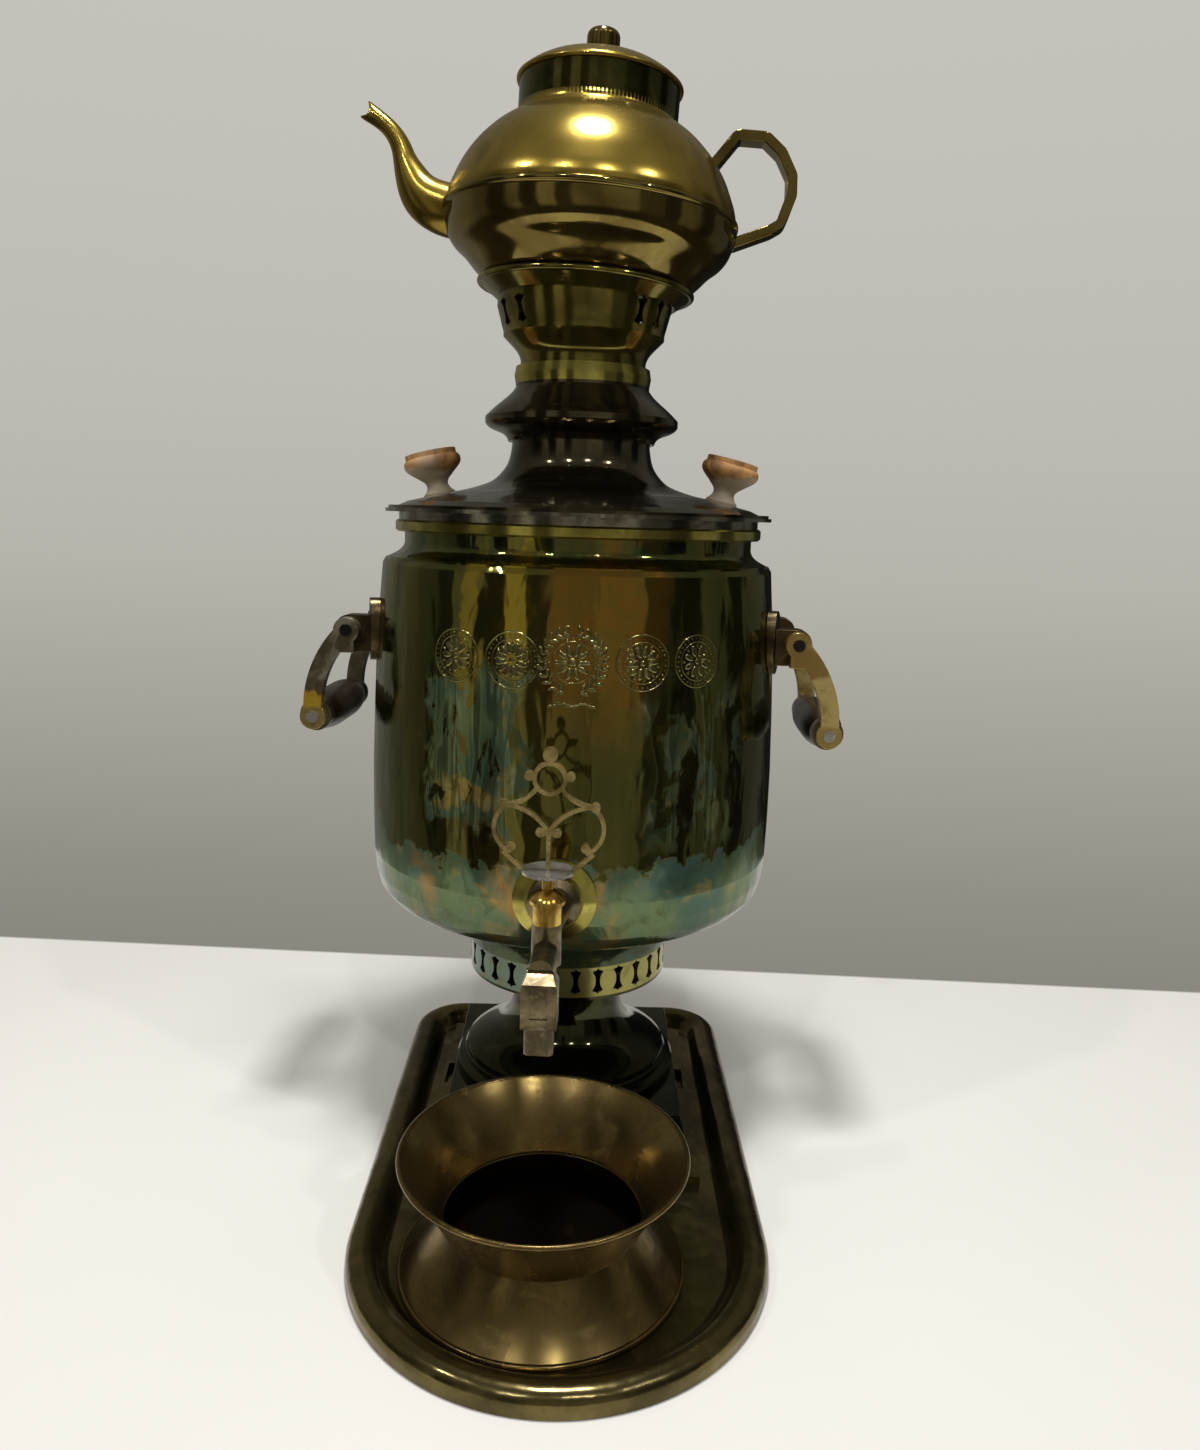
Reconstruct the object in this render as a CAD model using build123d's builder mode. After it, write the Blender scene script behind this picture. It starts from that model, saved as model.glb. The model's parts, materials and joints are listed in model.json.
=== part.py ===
from build123d import *

# A charcoal samovar of the straight-sided kind, on its tray, with a slop bowl and a teapot.
# Millimetres, +Z up. The origin lies on the surface the tray stands on, under the samovar's axis.
# The tap points along -Y and the carrying handles along X. The tray, the base plate and the square
# foot stand turned a little from the tap, and the teapot leans a little in the crown's round seat.

import os
from math import asin, atan2, cos, degrees, radians, sin, sqrt

os.makedirs("parts", exist_ok=True)

# ---------------------------------------------------------------- driving dimensions
sheet = 1.5  # wall of the spun and folded brass
loose = 0.6  # radial gap of the pieces that lift off each other
slip = 0.05  # radial clearance of pins, rods and the tap's plug
seat_gap = 0.3  # gap beside curved faces that don't carry
edge_break = 1  # flattened edge of the turned rings
quarter_turn = 90  # degrees

# Tray
stand_turn = 3.3  # degrees the tray and foot are turned from the tap
tray_back = 89
tray_corner = 30
tray_rim_width = 19
tray_rim_height = 10.5
tray_lip_clearance = 0.5  # the rolled edge ends this far above the table

# Base plate between the tray and the foot
plate_turn = 2.4  # degrees, as it lies loose on the tray
plate_front = 96
plate_side_room = 5.5  # to the foot of the tray's rim
plate_back_room = 7.5
plate_bowl_room = 5.5  # round the slop bowl
plate_height = 4.5
plate_slot_length = 22
plate_slot_width = 9
plate_slot_inset = 6.5  # from the plate's edge to the slot's middle

# Slop bowl
bowl_distance = 154.5  # from the samovar's axis
bowl_shift = 1.5  # towards +X
bowl_base_radius = 64.6
bowl_waist_in = 18.8
bowl_rim_out = 0.2
bowl_side_room = 13.4  # to the foot of the tray's rim
bowl_ahead = 10.5  # of the centre of the tray's half-round front
bowl_waist_height = 25
bowl_height = 54.5
bowl_bead = 1.2
bowl_floor_rise = 2.5

# Square foot
plinth_ledge = 0.4  # round the foot ring
plinth_batter = 2.3
plinth_height = 14.3
plinth_arch_width = 64
plinth_arch_height = 5

# Round foot
foot_ring_height = 9.2
foot_ring_ledge = 4.3
foot_ring_margin = 1.6  # round the pedestal's edge
foot_ring_lap = 7.4  # under the pedestal's edge
pedestal_edge_radius = 57.4
pedestal_edge_height = 2.6
pedestal_neck_radius = 31
pedestal_height = 51.5

# Pierced ring under the body
air_ring_radius = 56
air_ring_height = 17.5
air_slots = 29
air_slot_phase = 8.4  # degrees from the tap line to the first slot
air_slot_height = 14.6
air_slot_width = 6.2

# Body
body_radius = 110.5
body_taper = 5.5
body_height = 212.3
body_bowl_height = 55
body_foot_margin = 2  # round the pierced ring
shoulder_drop = 2.6
shoulder_width = 3.5
neck_pinch = 8
neck_height = 13.7
neck_ring_out = 4.8
neck_ring_in = 3.3
neck_ring_height = 6

# Charcoal tube and grate
tube_foot_radius = 41.5
tube_top_radius = 29
tube_above_body = 60
tube_ledge = 8
grate_thickness = 3
grate_slots = 5
grate_slot_width = 6

# Tap
tap_rise = 3.2  # above the height where the body's wall turns straight
tap_length = 39.5  # from the body to the key's axis
tap_rose_radius = 20
tap_rose_thickness = 3
tap_stem_radius = 5.9
tap_collar_radius = 12.5
tap_collar_length = 2.6
tap_stem_end_radius = 7
tap_bore = 3
tap_nut_radius = 9.5
tap_nut_thickness = 4
barrel_radius = 6.6
barrel_above = 4.1  # the tap's centre line
barrel_below = 14.7
plug_radius = 4.4
plug_head_radius = 6.5
plug_head_height = 9.2
plug_cap_radius = 8
plug_cap_thickness = 1.5
plug_dome_height = 4.5
plug_neck_radius = 2.6
plug_neck_height = 6
plug_stud_radius = 2.5
plug_stud_length = 6
disc_radius = 11.5
disc_thickness = 2.7
tap_washer_radius = 5.2
tap_washer_thickness = 1.2
plug_nut_radius = 4.6
plug_nut_thickness = 3.6
spout_drop = 7.7  # from the tap's centre line to the spout's
spout_tube_radius = 5.5
spout_length = 32  # from the key's axis
spout_block_width = 15
spout_block_depth = 11.5
spout_block_height = 22.6
spout_block_rise = 0.1  # above the spout's centre line
spout_block_chamfer = 2.2
spout_panel_width = 7.4
spout_panel_height = 13.6
spout_panel_depth = 0.6
spout_tip_width = 12.3
spout_tip_depth = 9.6
spout_tip_length = 11.8
spout_bore = 2.6
spout_bore_drop = 1.5  # the bore lies this far under the spout's centre line
spout_bore_wall = 2
key_thickness = 3
key_height = 50.9  # from the disc to the centre of the top ball
key_ball_radius = 3.2
key_strut = 1.8
key_bud_rise = 1  # of the ring's buds above its middle

# Carrying handles
hinge_out = 6.5  # from the body's widest part
hinge_drop = 37.8  # from the shoulder
hinge_pin_radius = 1.9
hinge_boss_radius = 6.7
handle_half_length = 44
arm_thickness = 6
arm_width = 9.5
arm_boss_radius = 6.8
arm_out = 18.3
arm_drop = 46.5
arm_bulge = 5.6
stop_lug_width = 4
stop_lug_height = 4
stop_lug_reach = 4
bracket_width = 10
bracket_knuckle = 7.5
bracket_leaf_height = 33
bracket_leaf_width = 17
bracket_leaf_thickness = 3
grip_radius = 10.8
grip_end_radius = 8
ferrule_length = 6
ferrule_radius = 8.4
rod_radius = 2.5
rivet_radius = 3.1
rivet_thickness = 0.8

# Lid
lid_overhang = 5.3  # of the lip past the neck ring
lid_lip_thickness = 1.8
lid_lift = 4  # from the neck ring to the lid's lip
lid_lip_ledge = 1.6
lid_edge_width = 10
lid_shoulder_rise = 3.8
lid_seat_width = 23
lid_seat_rise = 9.4
lid_throat_radius = 37
lid_height = 36.8
lid_step_in = 1.8  # the step under the lip stands back from the neck ring's edge
lid_skirt_depth = 8
knob_inset = 15.5  # from the lid's shoulder
knob_base_radius = 8.6
knob_waist_radius = 5.8
knob_step_radius = 9.8
knob_head_radius = 15.4
knob_top_radius = 13.8
knob_waist_height = 5.6
knob_step_height = 9.6
knob_head_height = 16.6
knob_rim_height = 20.6
knob_height = 23.2
knob_screw_radius = 2
knob_screw_length = 15
knob_screw_head_radius = 4
knob_screw_head = 1.8

# Crown
collar_foot_margin = 2.2  # round the lid's throat
collar_flare = 12.3
collar_lip_rise = 9.4
collar_height = 29.4
sleeve_depth = 12
crown_ring_radius = 35.6
crown_ring_height = 9
crown_ring_ledge = 2.4
cup_top_radius = 42.5
cup_height = 17
gallery_flare = 3.3
gallery_height = 16.2
gallery_slot_height = 14
gallery_slot_width = 7
gallery_slot_pitch = 18.9  # degrees
gallery_slot_phase = 42.7  # degrees from the tap line to the first slot
gallery_slots_a_side = 6
crown_lean = 2.7  # degrees the flange and the pot in it lean towards +X
crown_flange_width = 9.5
crown_flange_rise = 6.6
crown_bead = 1.7

# Teapot
pot_ball_radius = 85  # the round bottom, which sits in the crown's bead
pot_base_radius = 51
pot_ball_edge_radius = 65
pot_belly_radius = 75
pot_seam_height = -34.5  # heights in the pot are from the centre of its round bottom
pot_seam_out = 1.4
pot_seam_thickness = 2.6
pot_mouth_radius = 41
pot_mouth_foot = 14.2
pot_mouth_top = 30.4
pot_lid_overhang = 1.6
pot_lid_bead = 1.2
pot_lid_height = 13.6
pot_lid_sleeve_depth = 9
pot_knob_radius = 8.4
pot_knob_foot = 7.6
pot_knob_crown = 3.6  # radius of its rounded top edge
pot_knob_height = 14.4
pot_knob_slot = 1.6
pot_knob_screw_radius = 1.8
pot_knob_screw_length = 7
pour_wall = 1.2
strainer_hole_radius = 1.3
strainer_pitch = 4.6
strainer_drop = 8.4  # from the middle of the spout's root
# Stations along the spout: out from the belly, up, width, half breadth, direction of flow in degrees
pour_stations = (
    (-5, -33, 27.4, 12.5, 0),
    (16.1, -25.5, 23.4, 10.5, 39),
    (20.8, -15.7, 16.9, 8, 59),
    (23.9, -8.8, 11.9, 6.3, 66),
    (25.8, -2.1, 10.4, 5.6, 70),
    (31.2, 5.4, 9, 5, 52),
    (39.2, 10.5, 8.6, 4.6, 36),
    (44.3, 12.6, 8.6, 4.4, 41),
)
# Knots of the handle's centre line: out from the belly, up
pot_handle_knots = (
    (-17.4, -6.7),
    (-3.2, 12.4),
    (11.3, 12.2),
    (19.8, 5.5),
    (26.1, -5.1),
    (26.8, -14.6),
    (22.7, -28.6),
    (17.4, -32),
    (-10.8, -43.7),
)
pot_handle_bend = 4
pot_handle_thickness = 5.2
pot_handle_width = 12

# ---------------------------------------------------------------- radii that follow each other
bowl_waist_radius = bowl_base_radius - bowl_waist_in
bowl_rim_radius = bowl_base_radius + bowl_rim_out
tray_half_width = bowl_base_radius + bowl_side_room + tray_rim_width
tray_front = bowl_distance - bowl_ahead  # from the axis to the centre of the half-round front
plate_half_width = tray_half_width - tray_rim_width - plate_side_room
plate_back = tray_back - tray_rim_width - plate_back_room
foot_ring_step = pedestal_edge_radius + foot_ring_margin
foot_ring_radius = foot_ring_step + foot_ring_ledge
foot_ring_bore = pedestal_edge_radius - foot_ring_lap
plinth_half_top = foot_ring_radius + plinth_ledge
plinth_half_base = plinth_half_top + plinth_batter
body_bottom_radius = air_ring_radius + body_foot_margin
body_top_radius = body_radius - body_taper
neck_foot_radius = body_top_radius - shoulder_width
neck_radius = neck_foot_radius - neck_pinch
neck_ring_radius = neck_radius + neck_ring_out
neck_ring_bore = neck_radius - neck_ring_in
lid_lip_radius = neck_ring_radius + lid_overhang
lid_edge_radius = lid_lip_radius - lid_lip_ledge
lid_shoulder_radius = lid_edge_radius - lid_edge_width
lid_seat_radius = lid_shoulder_radius - lid_seat_width
lid_step_radius = neck_ring_radius - lid_step_in
knob_distance = lid_shoulder_radius - knob_inset
collar_foot_radius = lid_throat_radius + collar_foot_margin
collar_radius = collar_foot_radius + collar_flare
crown_throat_radius = crown_ring_radius - crown_ring_ledge
gallery_top_radius = cup_top_radius + gallery_flare
crown_flange_radius = gallery_top_radius + crown_flange_width
pot_seam_radius = pot_belly_radius + pot_seam_out
pot_lid_radius = pot_mouth_radius + pot_lid_overhang
tap_reach = body_radius + tap_length
spout_front = tap_reach + spout_length
hinge_x = body_radius + hinge_out

# ---------------------------------------------------------------- heights of the stack
tray_floor_top = sheet
plate_top = tray_floor_top + plate_height
plinth_top = plate_top + plinth_height
foot_ring_top = plinth_top + foot_ring_height
pedestal_top = foot_ring_top + pedestal_height + sheet
air_ring_top = pedestal_top + air_ring_height
body_top = air_ring_top + body_height
neck_top = body_top + neck_height
neck_ring_top = neck_top + neck_ring_height
lip_foot = neck_ring_top + lid_lift
lip_top = lip_foot + lid_lip_thickness
lid_top = lip_top + lid_height
collar_top = lid_top + collar_height
crown_ring_top = collar_top + crown_ring_height
cup_top = crown_ring_top + cup_height
gallery_top = cup_top + gallery_height
tap_z = air_ring_top + body_bowl_height + tap_rise
barrel_top = tap_z + barrel_above
barrel_foot = tap_z - barrel_below
spout_z = tap_z - spout_drop
spout_block_top = spout_z + spout_block_rise
spout_block_foot = spout_block_top - spout_block_height
spout_tip_foot = spout_block_foot - spout_tip_length
hinge_z = body_top - hinge_drop
tube_top_height = body_top + tube_above_body

# ---------------------------------------------------------------- shared planes and shapes
stand_plane = Plane.XY.rotated((0, 0, stand_turn))
plate_plane = Plane.XY.rotated((0, 0, plate_turn))
tap_side = Plane(origin=(0, 0, tap_z), x_dir=(0, -1, 0), z_dir=(-1, 0, 0))
tap_line = Axis((0, 0, tap_z), (0, -1, 0))
barrel_line = Axis((0, -tap_reach, 0), (0, 0, 1))
barrel_side = Plane(origin=(0, -tap_reach, 0), x_dir=(1, 0, 0), z_dir=(0, -1, 0))


def curve(start, end, *between):
    """A smooth stretch of an outline. The points between are shares of the way across and up."""
    across, up = end[0] - start[0], end[1] - start[1]
    return [start] + [(start[0] + across * a, start[1] + up * b) for a, b in between] + [end]


def inner_line(points, wall):
    """The same outline, one wall thickness to the left of its direction, with mitred corners."""
    moved = []
    for i, (x, y) in enumerate(points):
        before, after = points[max(i - 1, 0)], points[min(i + 1, len(points) - 1)]
        turn_in = atan2(y - before[1], x - before[0]) if i else atan2(after[1] - y, after[0] - x)
        turn_out = atan2(after[1] - y, after[0] - x) if i < len(points) - 1 else turn_in
        half = (turn_out - turn_in) / 2
        reach = wall / cos(half)
        moved.append((x - reach * sin(turn_in + half), y + reach * cos(turn_in + half)))
    return moved


def sheet_section(stretches, wall=sheet, plane=Plane.XZ, beads=()):
    """Section of a bent sheet. A stretch of two points is straight, a longer one is smooth."""
    outer = [stretches[0][0]] + [point for stretch in stretches for point in stretch[1:]]
    inner = inner_line(outer, wall)
    with BuildSketch(plane) as section:
        with BuildLine():
            for line in (outer, inner):
                first = 0
                for stretch in stretches:
                    last = first + len(stretch) - 1
                    points = line[first : last + 1]
                    if len(points) == 2:
                        Line(*points)
                    else:
                        Spline(*points)
                    first = last
            Line(outer[0], inner[0])
            Line(outer[-1], inner[-1])
        make_face()
        for radius, height, bead in beads:
            with Locations((radius, height)):
                Circle(bead)
    return section.sketch


def solid_section(points, plane=Plane.XZ):
    """Section of a turned piece: a closed outline of straight edges."""
    with BuildSketch(plane) as section:
        with BuildLine():
            Polyline(*points, close=True)
        make_face()
    return section.sketch


def radial_plane(turn, height, distance=0):
    """A plane that faces out from the axis. The turn is in degrees from the tap towards +X."""
    out = Vector(sin(radians(turn)), -cos(radians(turn)), 0)
    along = Vector(cos(radians(turn)), sin(radians(turn)), 0)
    return Plane(origin=out * distance + Vector(0, 0, height), x_dir=along, z_dir=out)


def bow_tie(width, height, plane):
    """A slot with a narrow waist and a pointed head at each end."""
    shares = ((0.21, 0), (0.22, 0.12), (0.31, 0.23), (0.5, 0.37), (0.34, 0.41), (0.16, 0.42), (0, 0.5))
    with BuildSketch(plane) as slot:
        with BuildLine():
            half = [(width * across, height * up) for across, up in shares]
            upper = half + [(-x, y) for x, y in reversed(half[:-1])]
            lower = [(x, -y) for x, y in reversed(upper[1:-1])]
            Polyline(*upper, *lower, close=True)
        make_face()
    return slot.sketch


def save(piece, name):
    """Names a finished piece and writes it."""
    piece.part.label = name
    export_step(piece.part, f"parts/{name}.step")


# ---------------------------------------------------------------- tray and base plate
def tray_outline(inset):
    """The tray's outline moved in by the inset: square back with round corners, half-round front."""
    half, back = tray_half_width - inset, tray_back - inset
    with BuildSketch(stand_plane) as outline:
        with Locations((0, (back - tray_front) / 2)):
            Rectangle(2 * half, back + tray_front)
        fillet(outline.vertices().group_by(Axis.Y)[-1], radius=tray_corner - inset)
        with Locations((0, -tray_front)):
            Circle(half)
    return outline.sketch


rim_start = stand_plane.from_local_coords((tray_half_width, -tray_front, 0))
rim_plane = Plane(origin=rim_start, x_dir=stand_plane.x_dir, z_dir=-stand_plane.y_dir)
with BuildPart() as tray:
    with BuildLine(stand_plane) as tray_edge:
        side, turn_y = tray_half_width, tray_back - tray_corner
        back_x = tray_half_width - tray_corner
        Line((side, -tray_front), (side, turn_y))
        RadiusArc((side, turn_y), (back_x, tray_back), -tray_corner)
        Line((back_x, tray_back), (-back_x, tray_back))
        RadiusArc((-back_x, tray_back), (-side, turn_y), -tray_corner)
        Line((-side, turn_y), (-side, -tray_front))
        ThreePointArc((-side, -tray_front), (0, -tray_front - side), (side, -tray_front))
    root = [(-tray_rim_width - sheet, sheet), (-tray_rim_width, sheet)]
    crest_point = (-tray_rim_width * 0.35, tray_rim_height)
    crest = curve(root[-1], crest_point, (0.12, 0.08), (0.42, 0.66))
    fall = curve(crest_point, (0, tray_rim_height * 0.42), (0.6, 0.22))
    lip = [fall[-1], (0, tray_lip_clearance)]
    add(sheet_section([root, crest + fall[1:], lip], -sheet, rim_plane))
    sweep(path=tray_edge.wires()[0])
    extrude(tray_outline(tray_rim_width), amount=sheet)
save(tray, "tray")

with BuildPart() as base_plate:
    plate_length = plate_front + plate_back
    with BuildSketch(plate_plane.offset(tray_floor_top)) as plate_outline:
        with Locations((0, (plate_back - plate_front) / 2)):
            Rectangle(2 * plate_half_width, plate_length)
        with Locations(plate_plane.to_local_coords(Vector(bowl_shift, -bowl_distance, 0))):
            Circle(bowl_base_radius + plate_bowl_room, mode=Mode.SUBTRACT)
    extrude(amount=plate_height)
    with BuildSketch(plate_plane.offset(tray_floor_top)):
        add(offset(plate_outline.sketch, amount=-sheet, mode=Mode.PRIVATE))
    extrude(amount=plate_height - sheet, mode=Mode.SUBTRACT)
    with BuildSketch(plate_plane.offset(tray_floor_top)):
        slot_x = plate_half_width - plate_slot_inset
        with Locations((slot_x, 0), (-slot_x, 0)):
            Rectangle(plate_slot_width, plate_slot_length)
    extrude(amount=plate_height, mode=Mode.SUBTRACT)
save(base_plate, "base_plate")

# ---------------------------------------------------------------- slop bowl
bowl_foot = tray_floor_top
bowl_waist = bowl_foot + bowl_waist_height
bowl_rim = bowl_foot + bowl_height
bowl_side = Plane(origin=(bowl_shift, -bowl_distance, 0), x_dir=(1, 0, 0), z_dir=(0, -1, 0))
bowl_line = Axis((bowl_shift, -bowl_distance, 0), (0, 0, 1))

with BuildPart() as bowl_lower:
    flare = curve(
        (bowl_base_radius, bowl_foot + bowl_bead), (bowl_waist_radius, bowl_waist), (0.5, 0.42)
    )
    beads = [(bowl_base_radius - bowl_bead / 2, bowl_foot + bowl_bead, bowl_bead)]
    revolve(sheet_section([flare], sheet, bowl_side, beads), axis=bowl_line)
save(bowl_lower, "bowl_lower")

with BuildPart() as bowl_upper:
    flare = curve((bowl_waist_radius, bowl_waist), (bowl_rim_radius, bowl_rim), (0.45, 0.52))
    beads = [(bowl_rim_radius - bowl_bead / 2, bowl_rim, bowl_bead)]
    revolve(sheet_section([flare], sheet, bowl_side, beads), axis=bowl_line)
save(bowl_upper, "bowl_upper")

with BuildPart() as bowl_floor:
    floor_z = bowl_foot + bowl_floor_rise
    taper = (bowl_base_radius - bowl_waist_radius) / bowl_waist_height
    floor_radius = bowl_base_radius - 2 * sheet - 2 * bowl_floor_rise * taper
    with BuildSketch(bowl_side):
        with BuildLine():
            outer_edge = bowl_base_radius - sheet - 2 * bowl_bead
            Polyline(
                (0, floor_z),
                (floor_radius, floor_z),
                (outer_edge, bowl_foot),
                (outer_edge, bowl_foot + sheet / 2),
                (floor_radius, floor_z + sheet),
                (0, floor_z + sheet),
                close=True,
            )
        make_face()
    revolve(axis=bowl_line)
save(bowl_floor, "bowl_floor")

# ---------------------------------------------------------------- square and round foot
with BuildPart() as plinth:
    for half_base, half_top, top in (
        (plinth_half_base, plinth_half_top, plinth_top),
        (plinth_half_base - sheet, plinth_half_top - sheet, plinth_top - sheet),
    ):
        with BuildSketch(stand_plane.offset(plate_top)):
            Rectangle(2 * half_base, 2 * half_base)
        with BuildSketch(stand_plane.offset(top)):
            Rectangle(2 * half_top, 2 * half_top)
        loft(mode=Mode.SUBTRACT if half_base < plinth_half_base else Mode.ADD)
    for facing in (stand_plane.x_dir, stand_plane.y_dir):
        arch_plane = Plane(origin=(0, 0, plate_top), x_dir=facing.cross(Vector(0, 0, 1)), z_dir=-facing)
        with BuildSketch(arch_plane):
            with BuildLine():
                half_arch = plinth_arch_width / 2
                ThreePointArc((-half_arch, 0), (0, plinth_arch_height), (half_arch, 0))
                Line((half_arch, 0), (-half_arch, 0))
            make_face()
        extrude(amount=2 * plinth_half_base, both=True, mode=Mode.SUBTRACT)
save(plinth, "plinth")

with BuildPart() as foot_ring:
    step = foot_ring_height / 2
    points = [
        (foot_ring_bore, plinth_top),
        (foot_ring_radius, plinth_top),
        (foot_ring_radius, plinth_top + step - edge_break),
        (foot_ring_radius - edge_break, plinth_top + step),
        (foot_ring_step, plinth_top + step + edge_break),
        (foot_ring_step, foot_ring_top - edge_break),
        (foot_ring_step - edge_break, foot_ring_top),
        (foot_ring_bore, foot_ring_top),
    ]
    revolve(solid_section(points), axis=Axis.Z)
save(foot_ring, "foot_ring")

with BuildPart() as pedestal:
    edge_top = foot_ring_top + pedestal_edge_height
    waist_z = foot_ring_top + pedestal_height * 0.66
    flange_z = pedestal_top - sheet
    edge = [(pedestal_edge_radius, foot_ring_top), (pedestal_edge_radius, edge_top)]
    bell = curve(
        edge[-1], (pedestal_neck_radius, waist_z), (0.28, 0.14), (0.58, 0.27), (0.8, 0.43), (0.94, 0.66)
    )
    cap = curve(
        bell[-1], (pedestal_neck_radius * 1.3, flange_z), (0.03, 0.3), (0.2, 0.72), (0.5, 0.94)
    )
    flange = [cap[-1], (air_ring_radius, flange_z)]
    revolve(sheet_section([edge, bell + cap[1:], flange]), axis=Axis.Z)
save(pedestal, "pedestal")

with BuildPart() as air_ring:
    wall = [(air_ring_radius, pedestal_top), (air_ring_radius, air_ring_top)]
    revolve(sheet_section([wall]), axis=Axis.Z)
    slot_z = (pedestal_top + air_ring_top) / 2
    for slot in range(air_slots):
        facing = radial_plane(air_slot_phase + slot * 360 / air_slots, slot_z)
        extrude(
            bow_tie(air_slot_width, air_slot_height, facing),
            amount=air_ring_radius + sheet,
            mode=Mode.SUBTRACT,
        )
save(air_ring, "air_ring")

# ---------------------------------------------------------------- body and neck
body_foot = air_ring_top
shoulder_z = body_top - shoulder_drop
belly_z = body_foot + body_bowl_height
bottom = [(tube_foot_radius, body_foot), (body_bottom_radius, body_foot)]
belly = (body_radius * 0.97, belly_z - body_bowl_height * 0.34)
bowl = curve(
    bottom[-1],
    belly,
    (0.03, 0.18),
    (0.11, 0.36),
    (0.25, 0.49),
    (0.44, 0.58),
    (0.62, 0.65),
    (0.79, 0.74),
    (0.91, 0.85),
)
flank = [belly, (body_radius * 0.987, belly_z - body_bowl_height * 0.2)] + curve(
    (body_radius * 0.996, belly_z),
    (body_top_radius, shoulder_z),
    (-0.09, 0.13),
    (-0.09, 0.3),
    (0.1, 0.52),
    (0.45, 0.79),
)
shoulder = [flank[-1], (body_top_radius - sheet, body_top), (neck_foot_radius - sheet, body_top)]
straight = flank + shoulder[1:]
body_line = [bottom, bowl] + [list(pair) for pair in zip(straight, straight[1:])]

with BuildPart() as body_envelope:
    revolve(solid_section([(0, belly[1])] + flank + [(0, shoulder_z)]), axis=Axis.Z)

with BuildPart() as body:
    revolve(sheet_section(body_line), axis=Axis.Z)
    with BuildSketch(Plane(origin=(0, 0, tap_z), x_dir=(1, 0, 0), z_dir=(0, -1, 0))):
        Circle(tap_stem_radius + slip)
    extrude(amount=2 * body_radius, mode=Mode.SUBTRACT)
save(body, "body")

with BuildPart() as body_neck:
    foot = [(neck_foot_radius, body_top), (neck_foot_radius, body_top + sheet / 2)]
    sweep_in = curve(foot[-1], (neck_radius, body_top + neck_height * 0.6), (0.5, 0.28), (0.88, 0.66))
    collar = [sweep_in[-1], (neck_radius, neck_top)]
    revolve(sheet_section([foot, sweep_in, collar]), axis=Axis.Z)
save(body_neck, "body_neck")

with BuildPart() as neck_ring:
    points = [
        (neck_ring_bore, neck_top),
        (neck_ring_radius - edge_break, neck_top),
        (neck_ring_radius, neck_top + edge_break),
        (neck_ring_radius, neck_ring_top - edge_break),
        (neck_ring_radius - edge_break, neck_ring_top),
        (neck_ring_bore, neck_ring_top),
    ]
    revolve(solid_section(points), axis=Axis.Z)
save(neck_ring, "neck_ring")

with BuildPart() as fire_tube:
    ledge = [(tube_foot_radius - tube_ledge, body_foot - sheet), (tube_foot_radius, body_foot - sheet)]
    wall = [ledge[-1], (tube_foot_radius, body_foot + sheet), (tube_top_radius, tube_top_height)]
    revolve(sheet_section([ledge, wall[:2], wall[1:]]), axis=Axis.Z)
save(fire_tube, "fire_tube")

with BuildPart() as grate:
    grate_radius = tube_foot_radius - sheet - loose
    with BuildSketch(Plane.XY.offset(body_foot)):
        Circle(grate_radius)
        with GridLocations(2 * grate_slot_width, 0, grate_slots, 1):
            SlotOverall(1.1 * grate_radius, grate_slot_width, rotation=quarter_turn, mode=Mode.SUBTRACT)
    extrude(amount=grate_thickness)
save(grate, "grate")

# ---------------------------------------------------------------- tap
with BuildPart() as tap_escutcheon:
    rose_face = body_radius + tap_rose_thickness
    points = [
        (body_radius - 2 * tap_rose_thickness, tap_stem_radius + slip),
        (rose_face, tap_stem_radius + slip),
        (rose_face, tap_rose_radius * 0.7),
        (rose_face - tap_rose_thickness * 0.6, tap_rose_radius),
        (body_radius - 2 * tap_rose_thickness, tap_rose_radius),
    ]
    revolve(solid_section(points, tap_side), axis=tap_line)
    add(body_envelope.part, mode=Mode.SUBTRACT)
save(tap_escutcheon, "tap_escutcheon")

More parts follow.
